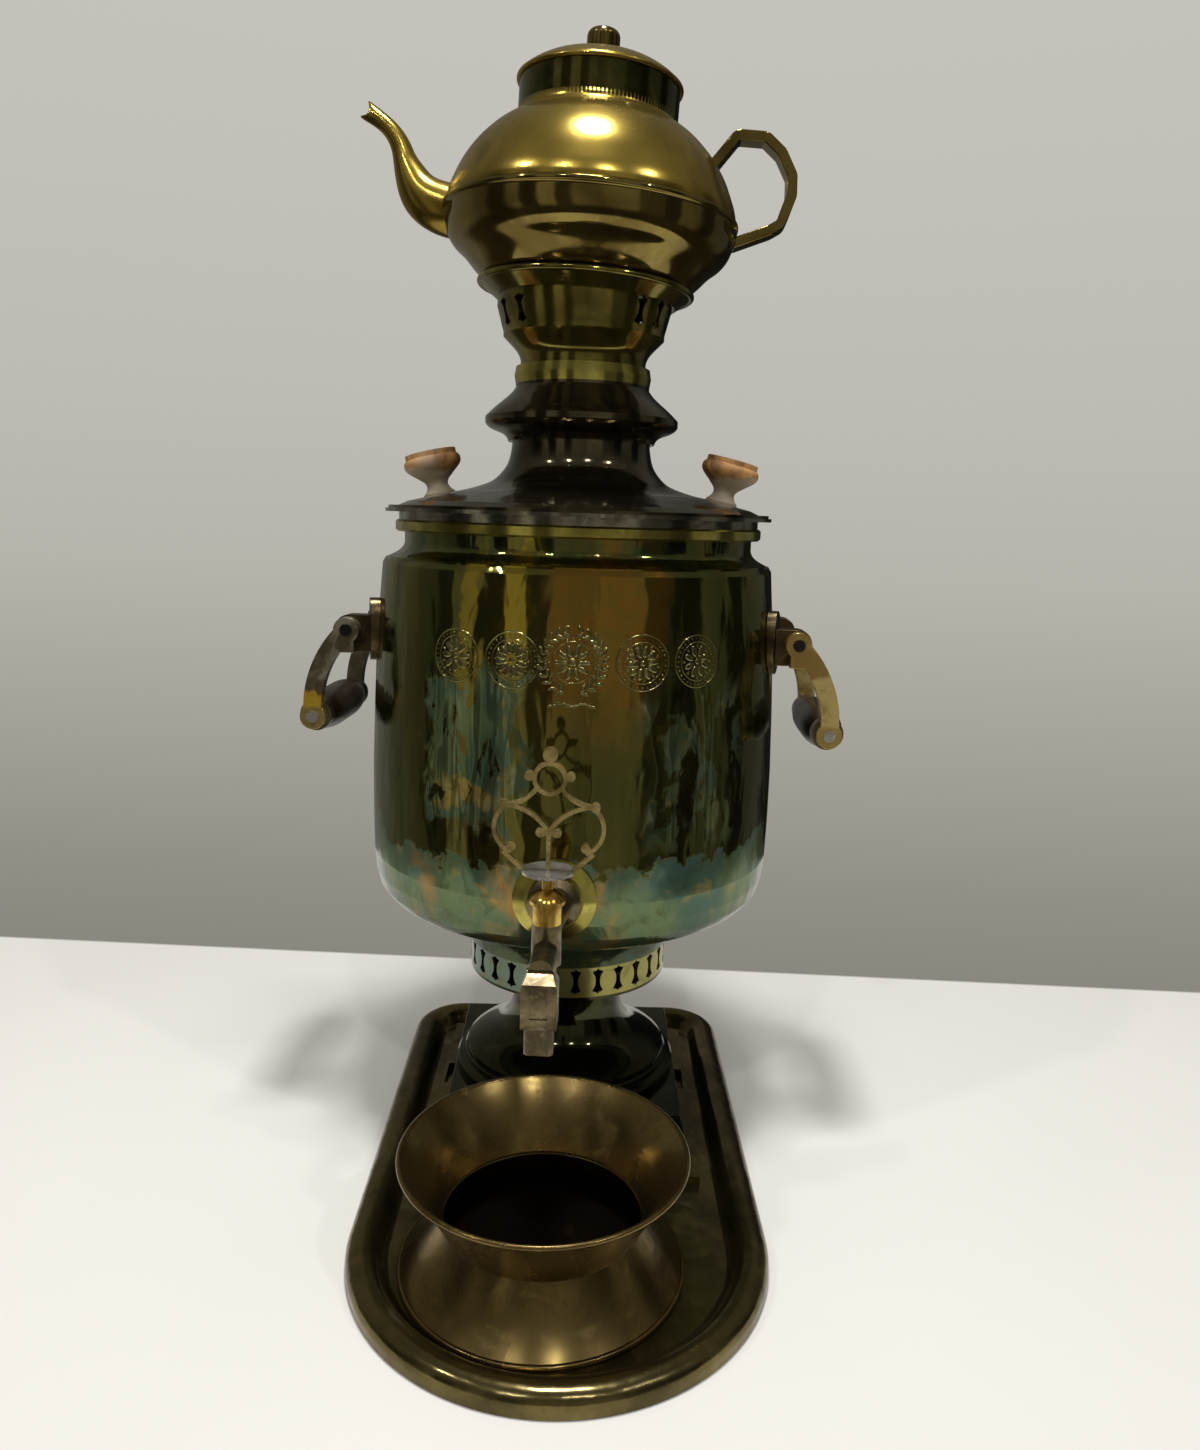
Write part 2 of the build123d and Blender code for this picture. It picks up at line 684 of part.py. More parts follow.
with BuildPart() as tap_body:
    stem_inner = body_radius - 3 * tap_nut_thickness
    stem = [
        (stem_inner, 0),
        (stem_inner, tap_stem_radius),
        (rose_face, tap_stem_radius),
        (rose_face, tap_collar_radius),
        (rose_face + tap_collar_length, tap_collar_radius),
        (rose_face + 2 * tap_collar_length, tap_stem_end_radius + 2 * edge_break),
        (tap_reach - barrel_radius, tap_stem_end_radius - edge_break),
        (tap_reach, tap_stem_end_radius - edge_break),
        (tap_reach, 0),
    ]
    revolve(solid_section(stem, tap_side), axis=tap_line)
    tap_front = Plane(origin=(0, -tap_reach, 0), x_dir=(1, 0, 0), z_dir=(0, -1, 0))
    with BuildSketch(Plane(origin=(0, -tap_reach, barrel_foot))):
        Circle(barrel_radius)
    extrude(amount=barrel_top - barrel_foot)
    with BuildSketch(tap_front):
        with Locations((0, spout_z)):
            Circle(spout_tube_radius)
    extrude(amount=spout_front - tap_reach - spout_block_depth / 2)
    block_back = spout_front - spout_block_depth
    half_block, cut = spout_block_width / 2, spout_block_chamfer
    with BuildSketch(tap_front.offset(block_back - tap_reach)):
        with BuildLine():
            right = [
                (half_block, spout_block_foot),
                (half_block, spout_block_top - 2 * cut),
                (half_block - cut, spout_block_top),
            ]
            Polyline(*right, *((-x, z) for x, z in reversed(right)), close=True)
        make_face()
    extrude(amount=spout_block_depth)
    facet = solid_section(
        [
            (spout_front - 3 * cut, spout_block_top - tap_z + cut / 2),
            (spout_front + cut, spout_block_top - tap_z + cut / 2),
            (spout_front + cut, spout_block_top - tap_z - 2 * cut),
        ],
        tap_side,
    )
    extrude(facet, amount=half_block, both=True, mode=Mode.SUBTRACT)
    with BuildSketch(tap_front.offset(spout_front - tap_reach)):
        with Locations((0, (spout_block_foot + spout_block_top) / 2)):
            Rectangle(spout_panel_width, spout_panel_height)
    extrude(amount=-spout_panel_depth, mode=Mode.SUBTRACT)
    tip_y = -(spout_front - spout_block_depth / 2)
    with BuildSketch(Plane(origin=(0, tip_y, spout_tip_foot))):
        RectangleRounded(spout_tip_width, spout_tip_depth, spout_block_chamfer)
    extrude(amount=spout_block_foot - spout_tip_foot)
    with BuildSketch(Plane(origin=(0, tip_y, spout_tip_foot))):
        Circle(spout_bore)
    extrude(amount=spout_z - spout_bore_wall - spout_tip_foot, mode=Mode.SUBTRACT)
    with BuildSketch(tap_front):
        with Locations((0, spout_z - spout_bore_drop)):
            Circle(spout_bore)
    extrude(amount=-tip_y - tap_reach - spout_bore_wall / 2, mode=Mode.SUBTRACT)
    with BuildSketch(Plane(origin=(0, -stem_inner, tap_z), x_dir=(1, 0, 0), z_dir=(0, -1, 0))):
        Circle(tap_bore)
    extrude(amount=tap_reach - stem_inner, mode=Mode.SUBTRACT)
    with BuildSketch(Plane(origin=(0, -tap_reach, barrel_foot))):
        Circle(plug_radius + slip)
    extrude(amount=barrel_top - barrel_foot, mode=Mode.SUBTRACT)
    with BuildSketch(Plane(origin=(0, -tap_reach, barrel_top))):
        Circle(plug_cap_radius + loose)
    extrude(amount=plug_head_height, mode=Mode.SUBTRACT)
save(tap_body, "tap_body")

with BuildPart() as tap_nut:
    nut_face = body_radius - 2 * sheet
    with BuildSketch(Plane(origin=(0, -nut_face, tap_z), x_dir=(1, 0, 0), z_dir=(0, 1, 0))):
        RegularPolygon(tap_nut_radius, 6)
        Circle(tap_stem_radius, mode=Mode.SUBTRACT)
    extrude(amount=tap_nut_thickness)
save(tap_nut, "tap_nut")

plug_foot = barrel_foot - plug_stud_length
with BuildPart() as tap_plug:
    head_top = barrel_top + plug_head_height
    cap_top = head_top + plug_cap_thickness
    dome_top = cap_top + plug_dome_height
    plug_top = dome_top + plug_neck_height
    with BuildSketch(barrel_side):
        with BuildLine():
            dome = ThreePointArc(
                (plug_cap_radius, cap_top),
                (plug_cap_radius * 0.72, cap_top + plug_dome_height * 0.62),
                (plug_neck_radius, dome_top),
            )
            Polyline(
                dome @ 1,
                (plug_neck_radius, plug_top),
                (0, plug_top),
                (0, plug_foot),
                (plug_stud_radius, plug_foot),
                (plug_stud_radius, barrel_foot - slip),
                (plug_radius, barrel_foot - slip),
                (plug_radius, barrel_top),
                (plug_head_radius, barrel_top),
                (plug_head_radius, head_top),
                (plug_cap_radius, head_top),
                dome @ 0,
            )
        make_face()
    revolve(axis=barrel_line)
    with BuildSketch(Plane(origin=(0, -tap_reach, 0), x_dir=(0, 1, 0), z_dir=(1, 0, 0))):
        with Locations((0, (spout_z + tap_z) / 2)):
            SlotOverall(tap_z - spout_z + 2 * tap_bore, 2 * tap_bore, rotation=quarter_turn)
    extrude(amount=plug_radius + slip, both=True, mode=Mode.SUBTRACT)
save(tap_plug, "tap_plug")

with BuildPart() as tap_washer:
    with BuildSketch(Plane(origin=(0, -tap_reach, barrel_foot - slip))):
        Circle(tap_washer_radius)
        Circle(plug_stud_radius, mode=Mode.SUBTRACT)
    extrude(amount=-tap_washer_thickness)
save(tap_washer, "tap_washer")

with BuildPart() as plug_nut:
    with BuildSketch(Plane(origin=(0, -tap_reach, barrel_foot - slip - tap_washer_thickness))):
        RegularPolygon(plug_nut_radius, 6)
        Circle(plug_stud_radius, mode=Mode.SUBTRACT)
    extrude(amount=-plug_nut_thickness)
save(plug_nut, "plug_nut")

disc_top = plug_top + disc_thickness
with BuildPart() as tap_disc:
    with BuildSketch(barrel_side):
        with BuildLine():
            under = ThreePointArc(
                (0, plug_top),
                (disc_radius * 0.55, plug_top + disc_thickness * 0.2),
                (disc_radius, plug_top + disc_thickness * 0.6),
            )
            Polyline(under @ 1, (disc_radius, disc_top), (0, disc_top), under @ 0)
        make_face()
    revolve(axis=barrel_line)
save(tap_disc, "tap_disc")

with BuildPart() as tap_key:
    ring_z, arm_z, loop_z, heart_z = (key_height * share for share in (0.795, 0.56, 0.345, 0.33))
    ring_mid = key_ball_radius * 2.06
    loop_x, loop_radius = key_height * 0.274, key_height * 0.188
    with BuildSketch(Plane(origin=(0, -tap_reach, disc_top), x_dir=(1, 0, 0), z_dir=(0, -1, 0))):
        with Locations((0, key_height)):
            Circle(key_ball_radius)
        with Locations((0, ring_z)):
            Circle(ring_mid + key_strut / 2)
        with Locations((0, key_height - key_ball_radius)):
            Rectangle(key_strut, key_strut * 2)
        for side in (-1, 1):
            with BuildLine(mode=Mode.PRIVATE) as strokes:
                ThreePointArc(
                    (side * ring_mid * 0.8, ring_z - ring_mid * 0.6),
                    (side * loop_x * 0.78, arm_z + key_strut * 1.4),
                    (side * loop_x * 1.3, arm_z),
                )
                ThreePointArc(
                    (side * loop_x * 1.3, arm_z),
                    (side * (loop_x + loop_radius), loop_z),
                    (side * loop_x * 1.15, loop_z - loop_radius),
                )
                ThreePointArc(
                    (side * loop_x * 1.3, arm_z),
                    (side * loop_x * 0.5, loop_z + loop_radius * 0.72),
                    (0, heart_z),
                )
                Line((side * loop_x * 1.4, loop_z - loop_radius), (side * disc_radius * 0.95, 0))
            trace(strokes.line, line_width=key_strut)
            buds = [
                (ring_mid * 1.33, ring_z + key_bud_rise),
                (loop_x * 1.42, arm_z),
                (loop_x * 1.15, loop_z - loop_radius * 0.75),
                (key_strut * 2, heart_z),
            ]
            with Locations(*((side * x, z) for x, z in buds)):
                Circle(key_strut * 1.15)
        with Locations((0, heart_z)):
            Rectangle(key_strut * 4, key_strut * 1.4)
        with Locations((0, heart_z / 2)):
            Rectangle(key_strut, heart_z)
        with Locations((0, ring_z)):
            Circle(ring_mid - key_strut / 2, mode=Mode.SUBTRACT)
        with Locations((0, -key_strut)):
            Rectangle(4 * disc_radius, 2 * key_strut, mode=Mode.SUBTRACT)
    extrude(amount=key_thickness / 2, both=True)
save(tap_key, "tap_key")

# ---------------------------------------------------------------- carrying handles
grip_x, grip_z = hinge_x + arm_out, hinge_z - arm_drop
grip_half = handle_half_length - arm_thickness - ferrule_length
knuckle_face = handle_half_length - arm_thickness - seat_gap
leaf_turn = degrees(asin((knuckle_face - bracket_width / 2) / body_radius))
arm_length = sqrt(arm_out**2 + arm_drop**2)


def handle_plane(side, y):
    """Local x points out from the body and local y up, with the hinge at the origin."""
    return Plane(origin=(side * hinge_x, y, hinge_z), x_dir=(side, 0, 0), z_dir=(0, -side, 0))


def round_bar(side, x, z, radius, near, far):
    """A round bar along Y on both ends of a handle, from near to far of its middle."""
    with BuildPart() as bars:
        for end in (-1, 1):
            with BuildSketch(Plane(origin=(side * x, end * near, z), x_dir=(1, 0, 0), z_dir=(0, end, 0))):
                Circle(radius)
            extrude(amount=far - near)
    return bars.part


for side, hand in ((-1, "left"), (1, "right")):
    for end, place in ((-1, "front"), (1, "back")):
        with BuildPart() as bracket:
            with BuildSketch(handle_plane(side, end * knuckle_face)):
                Circle(bracket_knuckle)
                with Locations((-bracket_knuckle, 0)):
                    Rectangle(2 * bracket_knuckle, 2 * bracket_knuckle)
                with Locations((-stop_lug_width - seat_gap, -bracket_knuckle - stop_lug_height)):
                    stop_corner = (Align.MAX, Align.MIN)
                    Rectangle(2 * bracket_knuckle, 2 * bracket_knuckle, align=stop_corner)
                Circle(hinge_pin_radius, mode=Mode.SUBTRACT)
            extrude(amount=end * side * bracket_width)
            facing = radial_plane(side * (quarter_turn + end * leaf_turn), hinge_z, body_radius / 2)
            with BuildSketch(facing):
                Ellipse(bracket_leaf_width / 2, bracket_leaf_height / 2)
            extrude(amount=body_radius / 2 + bracket_leaf_thickness - sheet)
            add(body_envelope.part, mode=Mode.SUBTRACT)
        save(bracket, f"bracket_{place}_{hand}")

        with BuildPart() as arm:
            with BuildSketch(handle_plane(side, end * handle_half_length)):
                with BuildLine(mode=Mode.PRIVATE) as middle:
                    ThreePointArc(
                        (0, 0),
                        (
                            arm_out / 2 + arm_bulge * arm_drop / arm_length,
                            -arm_drop / 2 + arm_bulge * arm_out / arm_length,
                        ),
                        (arm_out, -arm_drop),
                    )
                trace(middle.line, line_width=arm_width)
                Circle(hinge_boss_radius)
                with Locations((-stop_lug_width, 0)):
                    lug_foot = bracket_knuckle + seat_gap + stop_lug_height
                    Rectangle(2 * stop_lug_width, lug_foot, align=(Align.MIN, Align.MAX))
                with Locations((arm_out, -arm_drop)):
                    Circle(arm_boss_radius)
                    Circle(rod_radius, mode=Mode.SUBTRACT)
                Circle(hinge_pin_radius + slip, mode=Mode.SUBTRACT)
            extrude(amount=end * side * arm_thickness)
            with BuildSketch(handle_plane(side, end * handle_half_length)):
                with Locations((-stop_lug_width, -bracket_knuckle - seat_gap)):
                    Rectangle(stop_lug_width, stop_lug_height, align=(Align.MIN, Align.MAX))
            extrude(amount=end * side * (arm_thickness + stop_lug_reach))
        save(arm, f"arm_{place}_{hand}")

    with BuildPart() as pins:
        pin_end = handle_half_length + slip
        add(round_bar(side, hinge_x, hinge_z, hinge_pin_radius, knuckle_face - bracket_width, pin_end))
        add(round_bar(side, hinge_x, hinge_z, rivet_radius, pin_end, pin_end + rivet_thickness))
    save(pins, f"hinge_pins_{hand}")

    with BuildPart() as rod:
        add(round_bar(side, grip_x, grip_z, rod_radius, 0, handle_half_length))
        rivet_end = handle_half_length + rivet_thickness
        add(round_bar(side, grip_x, grip_z, rivet_radius, handle_half_length, rivet_end))
    save(rod, f"handle_rod_{hand}")

    with BuildPart() as ferrules:
        add(round_bar(side, grip_x, grip_z, ferrule_radius, grip_half, grip_half + ferrule_length))
        add(
            round_bar(side, grip_x, grip_z, rod_radius, grip_half, grip_half + ferrule_length),
            mode=Mode.SUBTRACT,
        )
    save(ferrules, f"ferrules_{hand}")

    grip_side = Plane(origin=(side * grip_x, 0, grip_z), x_dir=(0, 1, 0), z_dir=(1, 0, 0))
    with BuildPart() as grip:
        with BuildSketch(grip_side):
            with BuildLine():
                swell = Spline(
                    (-grip_half, grip_end_radius),
                    (-grip_half * 0.72, grip_radius * 0.93),
                    (0, grip_radius),
                    (grip_half * 0.72, grip_radius * 0.93),
                    (grip_half, grip_end_radius),
                )
                Polyline(swell @ 1, (grip_half, rod_radius), (-grip_half, rod_radius), swell @ 0)
            make_face()
        revolve(axis=Axis((side * grip_x, 0, grip_z), (0, 1, 0)))
    save(grip, f"grip_{hand}")

# ---------------------------------------------------------------- lid
skirt_radius = neck_ring_bore - loose
seat_fall = lid_seat_rise - lid_shoulder_rise
seat_angle = degrees(atan2(seat_fall, lid_shoulder_radius - lid_seat_radius))
with BuildPart() as lid_rim:
    points = [
        (skirt_radius - sheet, neck_ring_top - lid_skirt_depth),
        (skirt_radius, neck_ring_top - lid_skirt_depth),
        (skirt_radius, neck_ring_top),
        (lid_step_radius, neck_ring_top),
        (lid_step_radius, lip_foot),
        (lid_lip_radius, lip_foot),
        (lid_lip_radius, lip_top),
        (skirt_radius - sheet, lip_top),
    ]
    revolve(solid_section(points), axis=Axis.Z)
save(lid_rim, "lid_rim")

knob_places = {}
for side, hand in ((-1, "left"), (1, "right")):
    rise = lid_shoulder_rise + (lid_shoulder_radius - knob_distance) * seat_fall / (
        lid_shoulder_radius - lid_seat_radius
    )
    knob_places[hand] = Plane(
        origin=(side * knob_distance, 0, lip_top + rise),
        x_dir=(0, 1, 0),
        z_dir=(cos(radians(seat_angle)), 0, -side * sin(radians(seat_angle))),
    )

with BuildPart() as lid_shell:
    edge_step = (lid_edge_radius + lid_shoulder_radius) / 2
    flange = [(lid_edge_radius, lip_top + sheet), (edge_step, lip_top + sheet)]
    rise = [flange[-1], (lid_shoulder_radius, lip_top + lid_shoulder_rise)]
    seat = [rise[-1], (lid_seat_radius, lip_top + lid_seat_rise)]
    throat = curve(
        seat[-1],
        (lid_throat_radius, lid_top - sheet),
        (0.28, 0.07),
        (0.48, 0.147),
        (0.69, 0.262),
        (0.825, 0.417),
        (0.922, 0.59),
        (0.97, 0.765),
    )
    mouth = [throat[-1], (lid_throat_radius, lid_top)]
    revolve(sheet_section([flange, rise, seat, throat, mouth]), axis=Axis.Z)
    for place in knob_places.values():
        with BuildSketch(Plane(origin=place.origin, x_dir=place.x_dir, z_dir=place.y_dir)):
            Circle(knob_screw_radius + slip)
        extrude(amount=2 * sheet, both=True, mode=Mode.SUBTRACT)
save(lid_shell, "lid_shell")

for hand, place in knob_places.items():
    with BuildPart() as knob:
        with BuildSketch(place):
            with BuildLine():
                stem = Spline(
                    (knob_base_radius, edge_break),
                    (knob_waist_radius, knob_waist_height),
                    (knob_step_radius - edge_break, knob_step_height),
                )
                head = Spline(
                    (knob_step_radius, knob_step_height + edge_break),
                    (knob_head_radius - 2 * edge_break, knob_head_height - 3 * edge_break),
                    (knob_head_radius, knob_head_height),
                    (knob_head_radius - edge_break / 2, knob_rim_height - edge_break),
                    (knob_top_radius, knob_rim_height),
                )
                bore_top = knob_screw_length - sheet
                Line(stem @ 1, head @ 0)
                Polyline(
                    head @ 1,
                    (knob_top_radius, knob_height),
                    (0, knob_height),
                    (0, bore_top),
                    (knob_screw_radius, bore_top),
                    (knob_screw_radius, 0),
                    (knob_base_radius, 0),
                    stem @ 0,
                )
            make_face()
        revolve(axis=Axis(place.origin, place.y_dir))
    save(knob, f"lid_knob_{hand}")

with BuildPart() as knob_screws:
    for place in knob_places.values():
        head_z = -sheet - slip
        points = [
            (0, bore_top),
            (knob_screw_radius, bore_top),
            (knob_screw_radius, head_z),
            (knob_screw_head_radius, head_z),
            (knob_screw_head_radius, head_z - knob_screw_head),
            (0, head_z - knob_screw_head),
        ]
        revolve(solid_section(points, place), axis=Axis(place.origin, place.y_dir))
save(knob_screws, "knob_screws")

# ---------------------------------------------------------------- crown
sleeve_radius = lid_throat_radius - sheet - loose
with BuildPart() as crown_sleeve:
    wall = [(sleeve_radius, lid_top - sleeve_depth), (sleeve_radius, lid_top)]
    revolve(sheet_section([wall]), axis=Axis.Z)
save(crown_sleeve, "crown_sleeve")

with BuildPart() as crown_collar:
    foot = [(sleeve_radius - sheet, lid_top), (collar_foot_radius, lid_top)]
    flare = curve(foot[-1], (collar_radius, lid_top + collar_lip_rise), (0.31, 0.47), (0.8, 0.73))
    lip = [flare[-1], (collar_radius, lid_top + collar_lip_rise + 2 * sheet)]
    dome = curve(
        lip[-1], (crown_ring_radius, collar_top - sheet), (0.11, 0.12), (0.455, 0.44), (0.79, 0.735)
    )
    mouth = [dome[-1], (crown_ring_radius, collar_top)]
    revolve(sheet_section([foot, flare, lip, dome, mouth]), axis=Axis.Z)
save(crown_collar, "crown_collar")

with BuildPart() as crown_ring:
    middle_z = (collar_top + crown_ring_top) / 2
    points = [
        (crown_throat_radius - 2 * sheet, collar_top),
        (crown_ring_radius, collar_top),
        (crown_ring_radius + sheet / 2, middle_z),
        (crown_ring_radius, crown_ring_top),
        (crown_throat_radius - 2 * sheet, crown_ring_top),
    ]
    revolve(solid_section(points), axis=Axis.Z)
save(crown_ring, "crown_ring")

with BuildPart() as crown_cup:
    foot = [(crown_throat_radius, crown_ring_top), (crown_throat_radius, crown_ring_top + 2 * sheet)]
    flare = curve(foot[-1], (cup_top_radius, cup_top - sheet), (0.16, 0.32), (0.41, 0.56), (0.62, 0.72))
    brim = [flare[-1], (cup_top_radius, cup_top)]
    revolve(sheet_section([foot, flare, brim]), axis=Axis.Z)
save(crown_cup, "crown_cup")

lean = radians(crown_lean)
flange_side = Plane(origin=(0, 0, gallery_top), x_dir=(cos(lean), 0, -sin(lean)), z_dir=(0, -1, 0))
flange_line = Axis(flange_side.origin, flange_side.y_dir)

with BuildPart() as crown_gallery:
    lean_room = 2 * sheet
    wall = [
        (cup_top_radius, cup_top),
        (cup_top_radius, cup_top + sheet / 2),
        (gallery_top_radius, gallery_top - lean_room),
        (gallery_top_radius, gallery_top + lean_room),
    ]
    revolve(sheet_section([wall[:2], wall[1:3], wall[2:]]), axis=Axis.Z)
    slot_z = (cup_top + gallery_top) / 2
    for face in (0, 2 * quarter_turn):
        for slot in range(gallery_slots_a_side):
            turn = face + gallery_slot_phase + slot * gallery_slot_pitch
            facing = radial_plane(turn, slot_z)
            extrude(
                bow_tie(gallery_slot_width, gallery_slot_height, facing),
                amount=gallery_top_radius + sheet,
                mode=Mode.SUBTRACT,
            )
    split(bisect_by=Plane(origin=flange_side.origin, z_dir=flange_side.y_dir), keep=Keep.BOTTOM)
save(crown_gallery, "crown_gallery")

with BuildPart() as crown_flange:
    seat = [(cup_top_radius, 0), (gallery_top_radius + sheet, 0)]
    brim = [seat[-1], (crown_flange_radius, crown_flange_rise - sheet / 2)]
    beads = [(crown_flange_radius, crown_flange_rise, crown_bead)]
    revolve(sheet_section([seat, brim], plane=flange_side, beads=beads), axis=flange_line)
save(crown_flange, "crown_flange")

# ---------------------------------------------------------------- teapot
seat_reach = pot_ball_radius + crown_bead + seat_gap
pot_ball_rise = crown_flange_rise + sqrt(seat_reach**2 - crown_flange_radius**2)
pot_centre = flange_side.from_local_coords((0, pot_ball_rise))
pot_side = Plane(origin=pot_centre, x_dir=flange_side.x_dir, z_dir=flange_side.z_dir)
pot_line = Axis(pot_side.origin, pot_side.y_dir)


def facets(points, count):
    """Points at equal shares of a smooth curve, for a surface built of short cones."""
    smooth = Edge.make_spline([Vector(x, y) for x, y in points])
    cuts = [smooth @ (i / count) for i in range(count + 1)]
    return [(cut.X, cut.Y) for cut in cuts]


def pot_ball(radius):
    """The point of the round bottom at a radius."""
    return (radius, -sqrt(pot_ball_radius**2 - radius**2))


def pairs(points):
    """An outline as straight stretches."""
    return [list(pair) for pair in zip(points, points[1:])]


seam_top = pot_seam_height + pot_seam_thickness
pot_belly = [pot_ball(pot_base_radius), pot_ball((pot_base_radius + pot_ball_edge_radius) / 2)]
pot_belly += curve(
    pot_ball(pot_ball_edge_radius), (pot_belly_radius, pot_seam_height - sheet), (0.59, 0.27), (0.92, 0.6)
)
pot_belly = facets(pot_belly, 12) + [(pot_belly_radius, pot_seam_height)]
pot_crown = [(pot_belly_radius, seam_top), (pot_belly_radius, seam_top + sheet / 2)] + facets(
    curve(
        (pot_belly_radius, seam_top + sheet / 2),
        (pot_mouth_radius, pot_mouth_foot - sheet / 2),
        (0.09, 0.15),
        (0.26, 0.49),
        (0.54, 0.75),
        (0.8, 0.91),
    ),
    12,
)[1:]
pot_crown += [(pot_mouth_radius, pot_mouth_foot)]
with BuildPart() as pot_envelope:
    seam = [(pot_seam_radius, pot_seam_height), (pot_seam_radius, seam_top)]
    outline = [(0, pot_belly[0][1])] + pot_belly + seam + pot_crown + [(0, pot_mouth_foot)]
    revolve(solid_section(outline, pot_side), axis=pot_line)

with BuildPart() as teapot_lower:
    base = [(0, pot_belly[0][1]), pot_belly[0]]
    revolve(sheet_section([base] + pairs(pot_belly), plane=pot_side), axis=pot_line)
    seam = [
        (pot_belly_radius - sheet, pot_seam_height),
        (pot_seam_radius, pot_seam_height),
        (pot_seam_radius, seam_top),
        (pot_belly_radius - sheet, seam_top),
    ]
    revolve(solid_section(seam, pot_side), axis=pot_line)
    strainer_spot = pot_side.from_local_coords((-pot_belly_radius, pour_stations[0][1] - strainer_drop))
    with BuildSketch(Plane(origin=strainer_spot, x_dir=(0, 1, 0), z_dir=pot_side.x_dir)):
        with GridLocations(strainer_pitch, strainer_pitch, 4, 2):
            Circle(strainer_hole_radius)
    extrude(amount=3 * sheet, both=True, mode=Mode.SUBTRACT)
save(teapot_lower, "teapot_lower")

with BuildPart() as teapot_upper:
    revolve(sheet_section(pairs(pot_crown), plane=pot_side), axis=pot_line)
save(teapot_upper, "teapot_upper")

with BuildPart() as teapot_neck:
    wall = [(pot_mouth_radius, pot_mouth_foot), (pot_mouth_radius, pot_mouth_top)]
    revolve(sheet_section([wall], plane=pot_side), axis=pot_line)
save(teapot_neck, "teapot_neck")


def pour_loft(inset, overrun):
    """The spout's shape, its sections made smaller by the inset and its ends made longer."""
    with BuildPart() as shape:
        for station, (out, up, width, half_breadth, flow) in enumerate(pour_stations):
            ahead = -cos(radians(flow)) * pot_side.x_dir + sin(radians(flow)) * pot_side.y_dir
            at_end = {0: -overrun, len(pour_stations) - 1: overrun}.get(station, 0)
            origin = pot_side.from_local_coords((-pot_belly_radius - out, up)) + at_end * ahead
            with BuildSketch(Plane(origin=origin, x_dir=(0, 1, 0), z_dir=ahead)):
                Ellipse(half_breadth - inset, width / 2 - inset)
        loft(ruled=True)
    return shape.part


with BuildPart() as teapot_spout:
    add(pour_loft(0, 0))
    add(pour_loft(pour_wall, pour_wall), mode=Mode.SUBTRACT)
    add(pot_envelope.part, mode=Mode.SUBTRACT)
save(teapot_spout, "teapot_spout")

with BuildPart() as teapot_handle:
    with BuildSketch(pot_side):
        with BuildLine(mode=Mode.PRIVATE) as strap:
            knots = [(pot_belly_radius + out, up) for out, up in pot_handle_knots]
            FilletPolyline(*knots, radius=pot_handle_bend)
        trace(strap.line, line_width=pot_handle_thickness)
    extrude(amount=pot_handle_width / 2, both=True)
    add(pot_envelope.part, mode=Mode.SUBTRACT)
save(teapot_handle, "teapot_handle")

with BuildPart() as teapot_lid_sleeve:
    radius = pot_mouth_radius - sheet - loose
    wall = [(radius, pot_mouth_top - pot_lid_sleeve_depth), (radius, pot_mouth_top)]
    revolve(sheet_section([wall], plane=pot_side), axis=pot_line)
save(teapot_lid_sleeve, "teapot_lid_sleeve")

pot_lid_top = pot_mouth_top + pot_lid_height
with BuildPart() as teapot_lid:
    bead_x, bead_z = pot_lid_radius - pot_lid_bead, pot_mouth_top + pot_lid_bead
    dome = curve(
        (bead_x, bead_z + sheet),
        (pot_knob_radius, pot_lid_top),
        (0.05, 0.13),
        (0.17, 0.38),
        (0.36, 0.67),
        (0.5, 0.81),
        (0.74, 0.96),
    )
    edge = [(bead_x + sheet / 2, bead_z), dome[0]]
    flat = [dome[-1], (0, pot_lid_top)]
    beads = [(bead_x, bead_z, pot_lid_bead)]
    seat = [
        (pot_mouth_radius - 2 * sheet - loose, pot_mouth_top),
        (bead_x, pot_mouth_top),
        (bead_x, bead_z),
        (pot_mouth_radius - 2 * sheet - loose, bead_z),
    ]
    section = sheet_section([edge, dome, flat], plane=pot_side, beads=beads)
    revolve(section + solid_section(seat, pot_side), axis=pot_line)
    with BuildSketch(Plane(origin=pot_side.from_local_coords((0, pot_lid_top)), z_dir=pot_side.y_dir)):
        Circle(pot_knob_screw_radius)
    extrude(amount=-2 * sheet, mode=Mode.SUBTRACT)
save(teapot_lid, "teapot_lid")

knob_top = pot_lid_top + pot_knob_height
screw_top = pot_lid_top + pot_knob_screw_length
with BuildPart() as teapot_knob:
    with BuildSketch(pot_side):
        with BuildLine():
            crown_foot = knob_top - pot_knob_crown
            rounding = pot_knob_crown * (1 - cos(radians(quarter_turn / 2)))
            rounded = ThreePointArc(
                (pot_knob_radius, crown_foot),
                (pot_knob_radius - rounding, knob_top - rounding),
                (pot_knob_radius - pot_knob_crown, knob_top),
            )
            Polyline(
                rounded @ 1,
                (0, knob_top),
                (0, screw_top),
                (pot_knob_screw_radius, screw_top),
                (pot_knob_screw_radius, pot_lid_top),
                (pot_knob_foot, pot_lid_top),
                (pot_knob_radius, pot_lid_top + sheet),
                rounded @ 0,
            )
        make_face()
    revolve(axis=pot_line)
    with BuildSketch(pot_side):
        with Locations((0, knob_top)):
            Rectangle(pot_knob_slot, 2 * sheet)
    extrude(amount=pot_knob_radius, both=True, mode=Mode.SUBTRACT)
save(teapot_knob, "teapot_knob")

with BuildPart() as teapot_knob_screw:
    head_z = pot_lid_top - sheet
    points = [
        (0, screw_top),
        (pot_knob_screw_radius, screw_top),
        (pot_knob_screw_radius, head_z),
        (2 * pot_knob_screw_radius, head_z),
        (2 * pot_knob_screw_radius, head_z - sheet),
        (0, head_z - sheet),
    ]
    revolve(solid_section(points, pot_side), axis=pot_line)
save(teapot_knob_screw, "teapot_knob_screw")
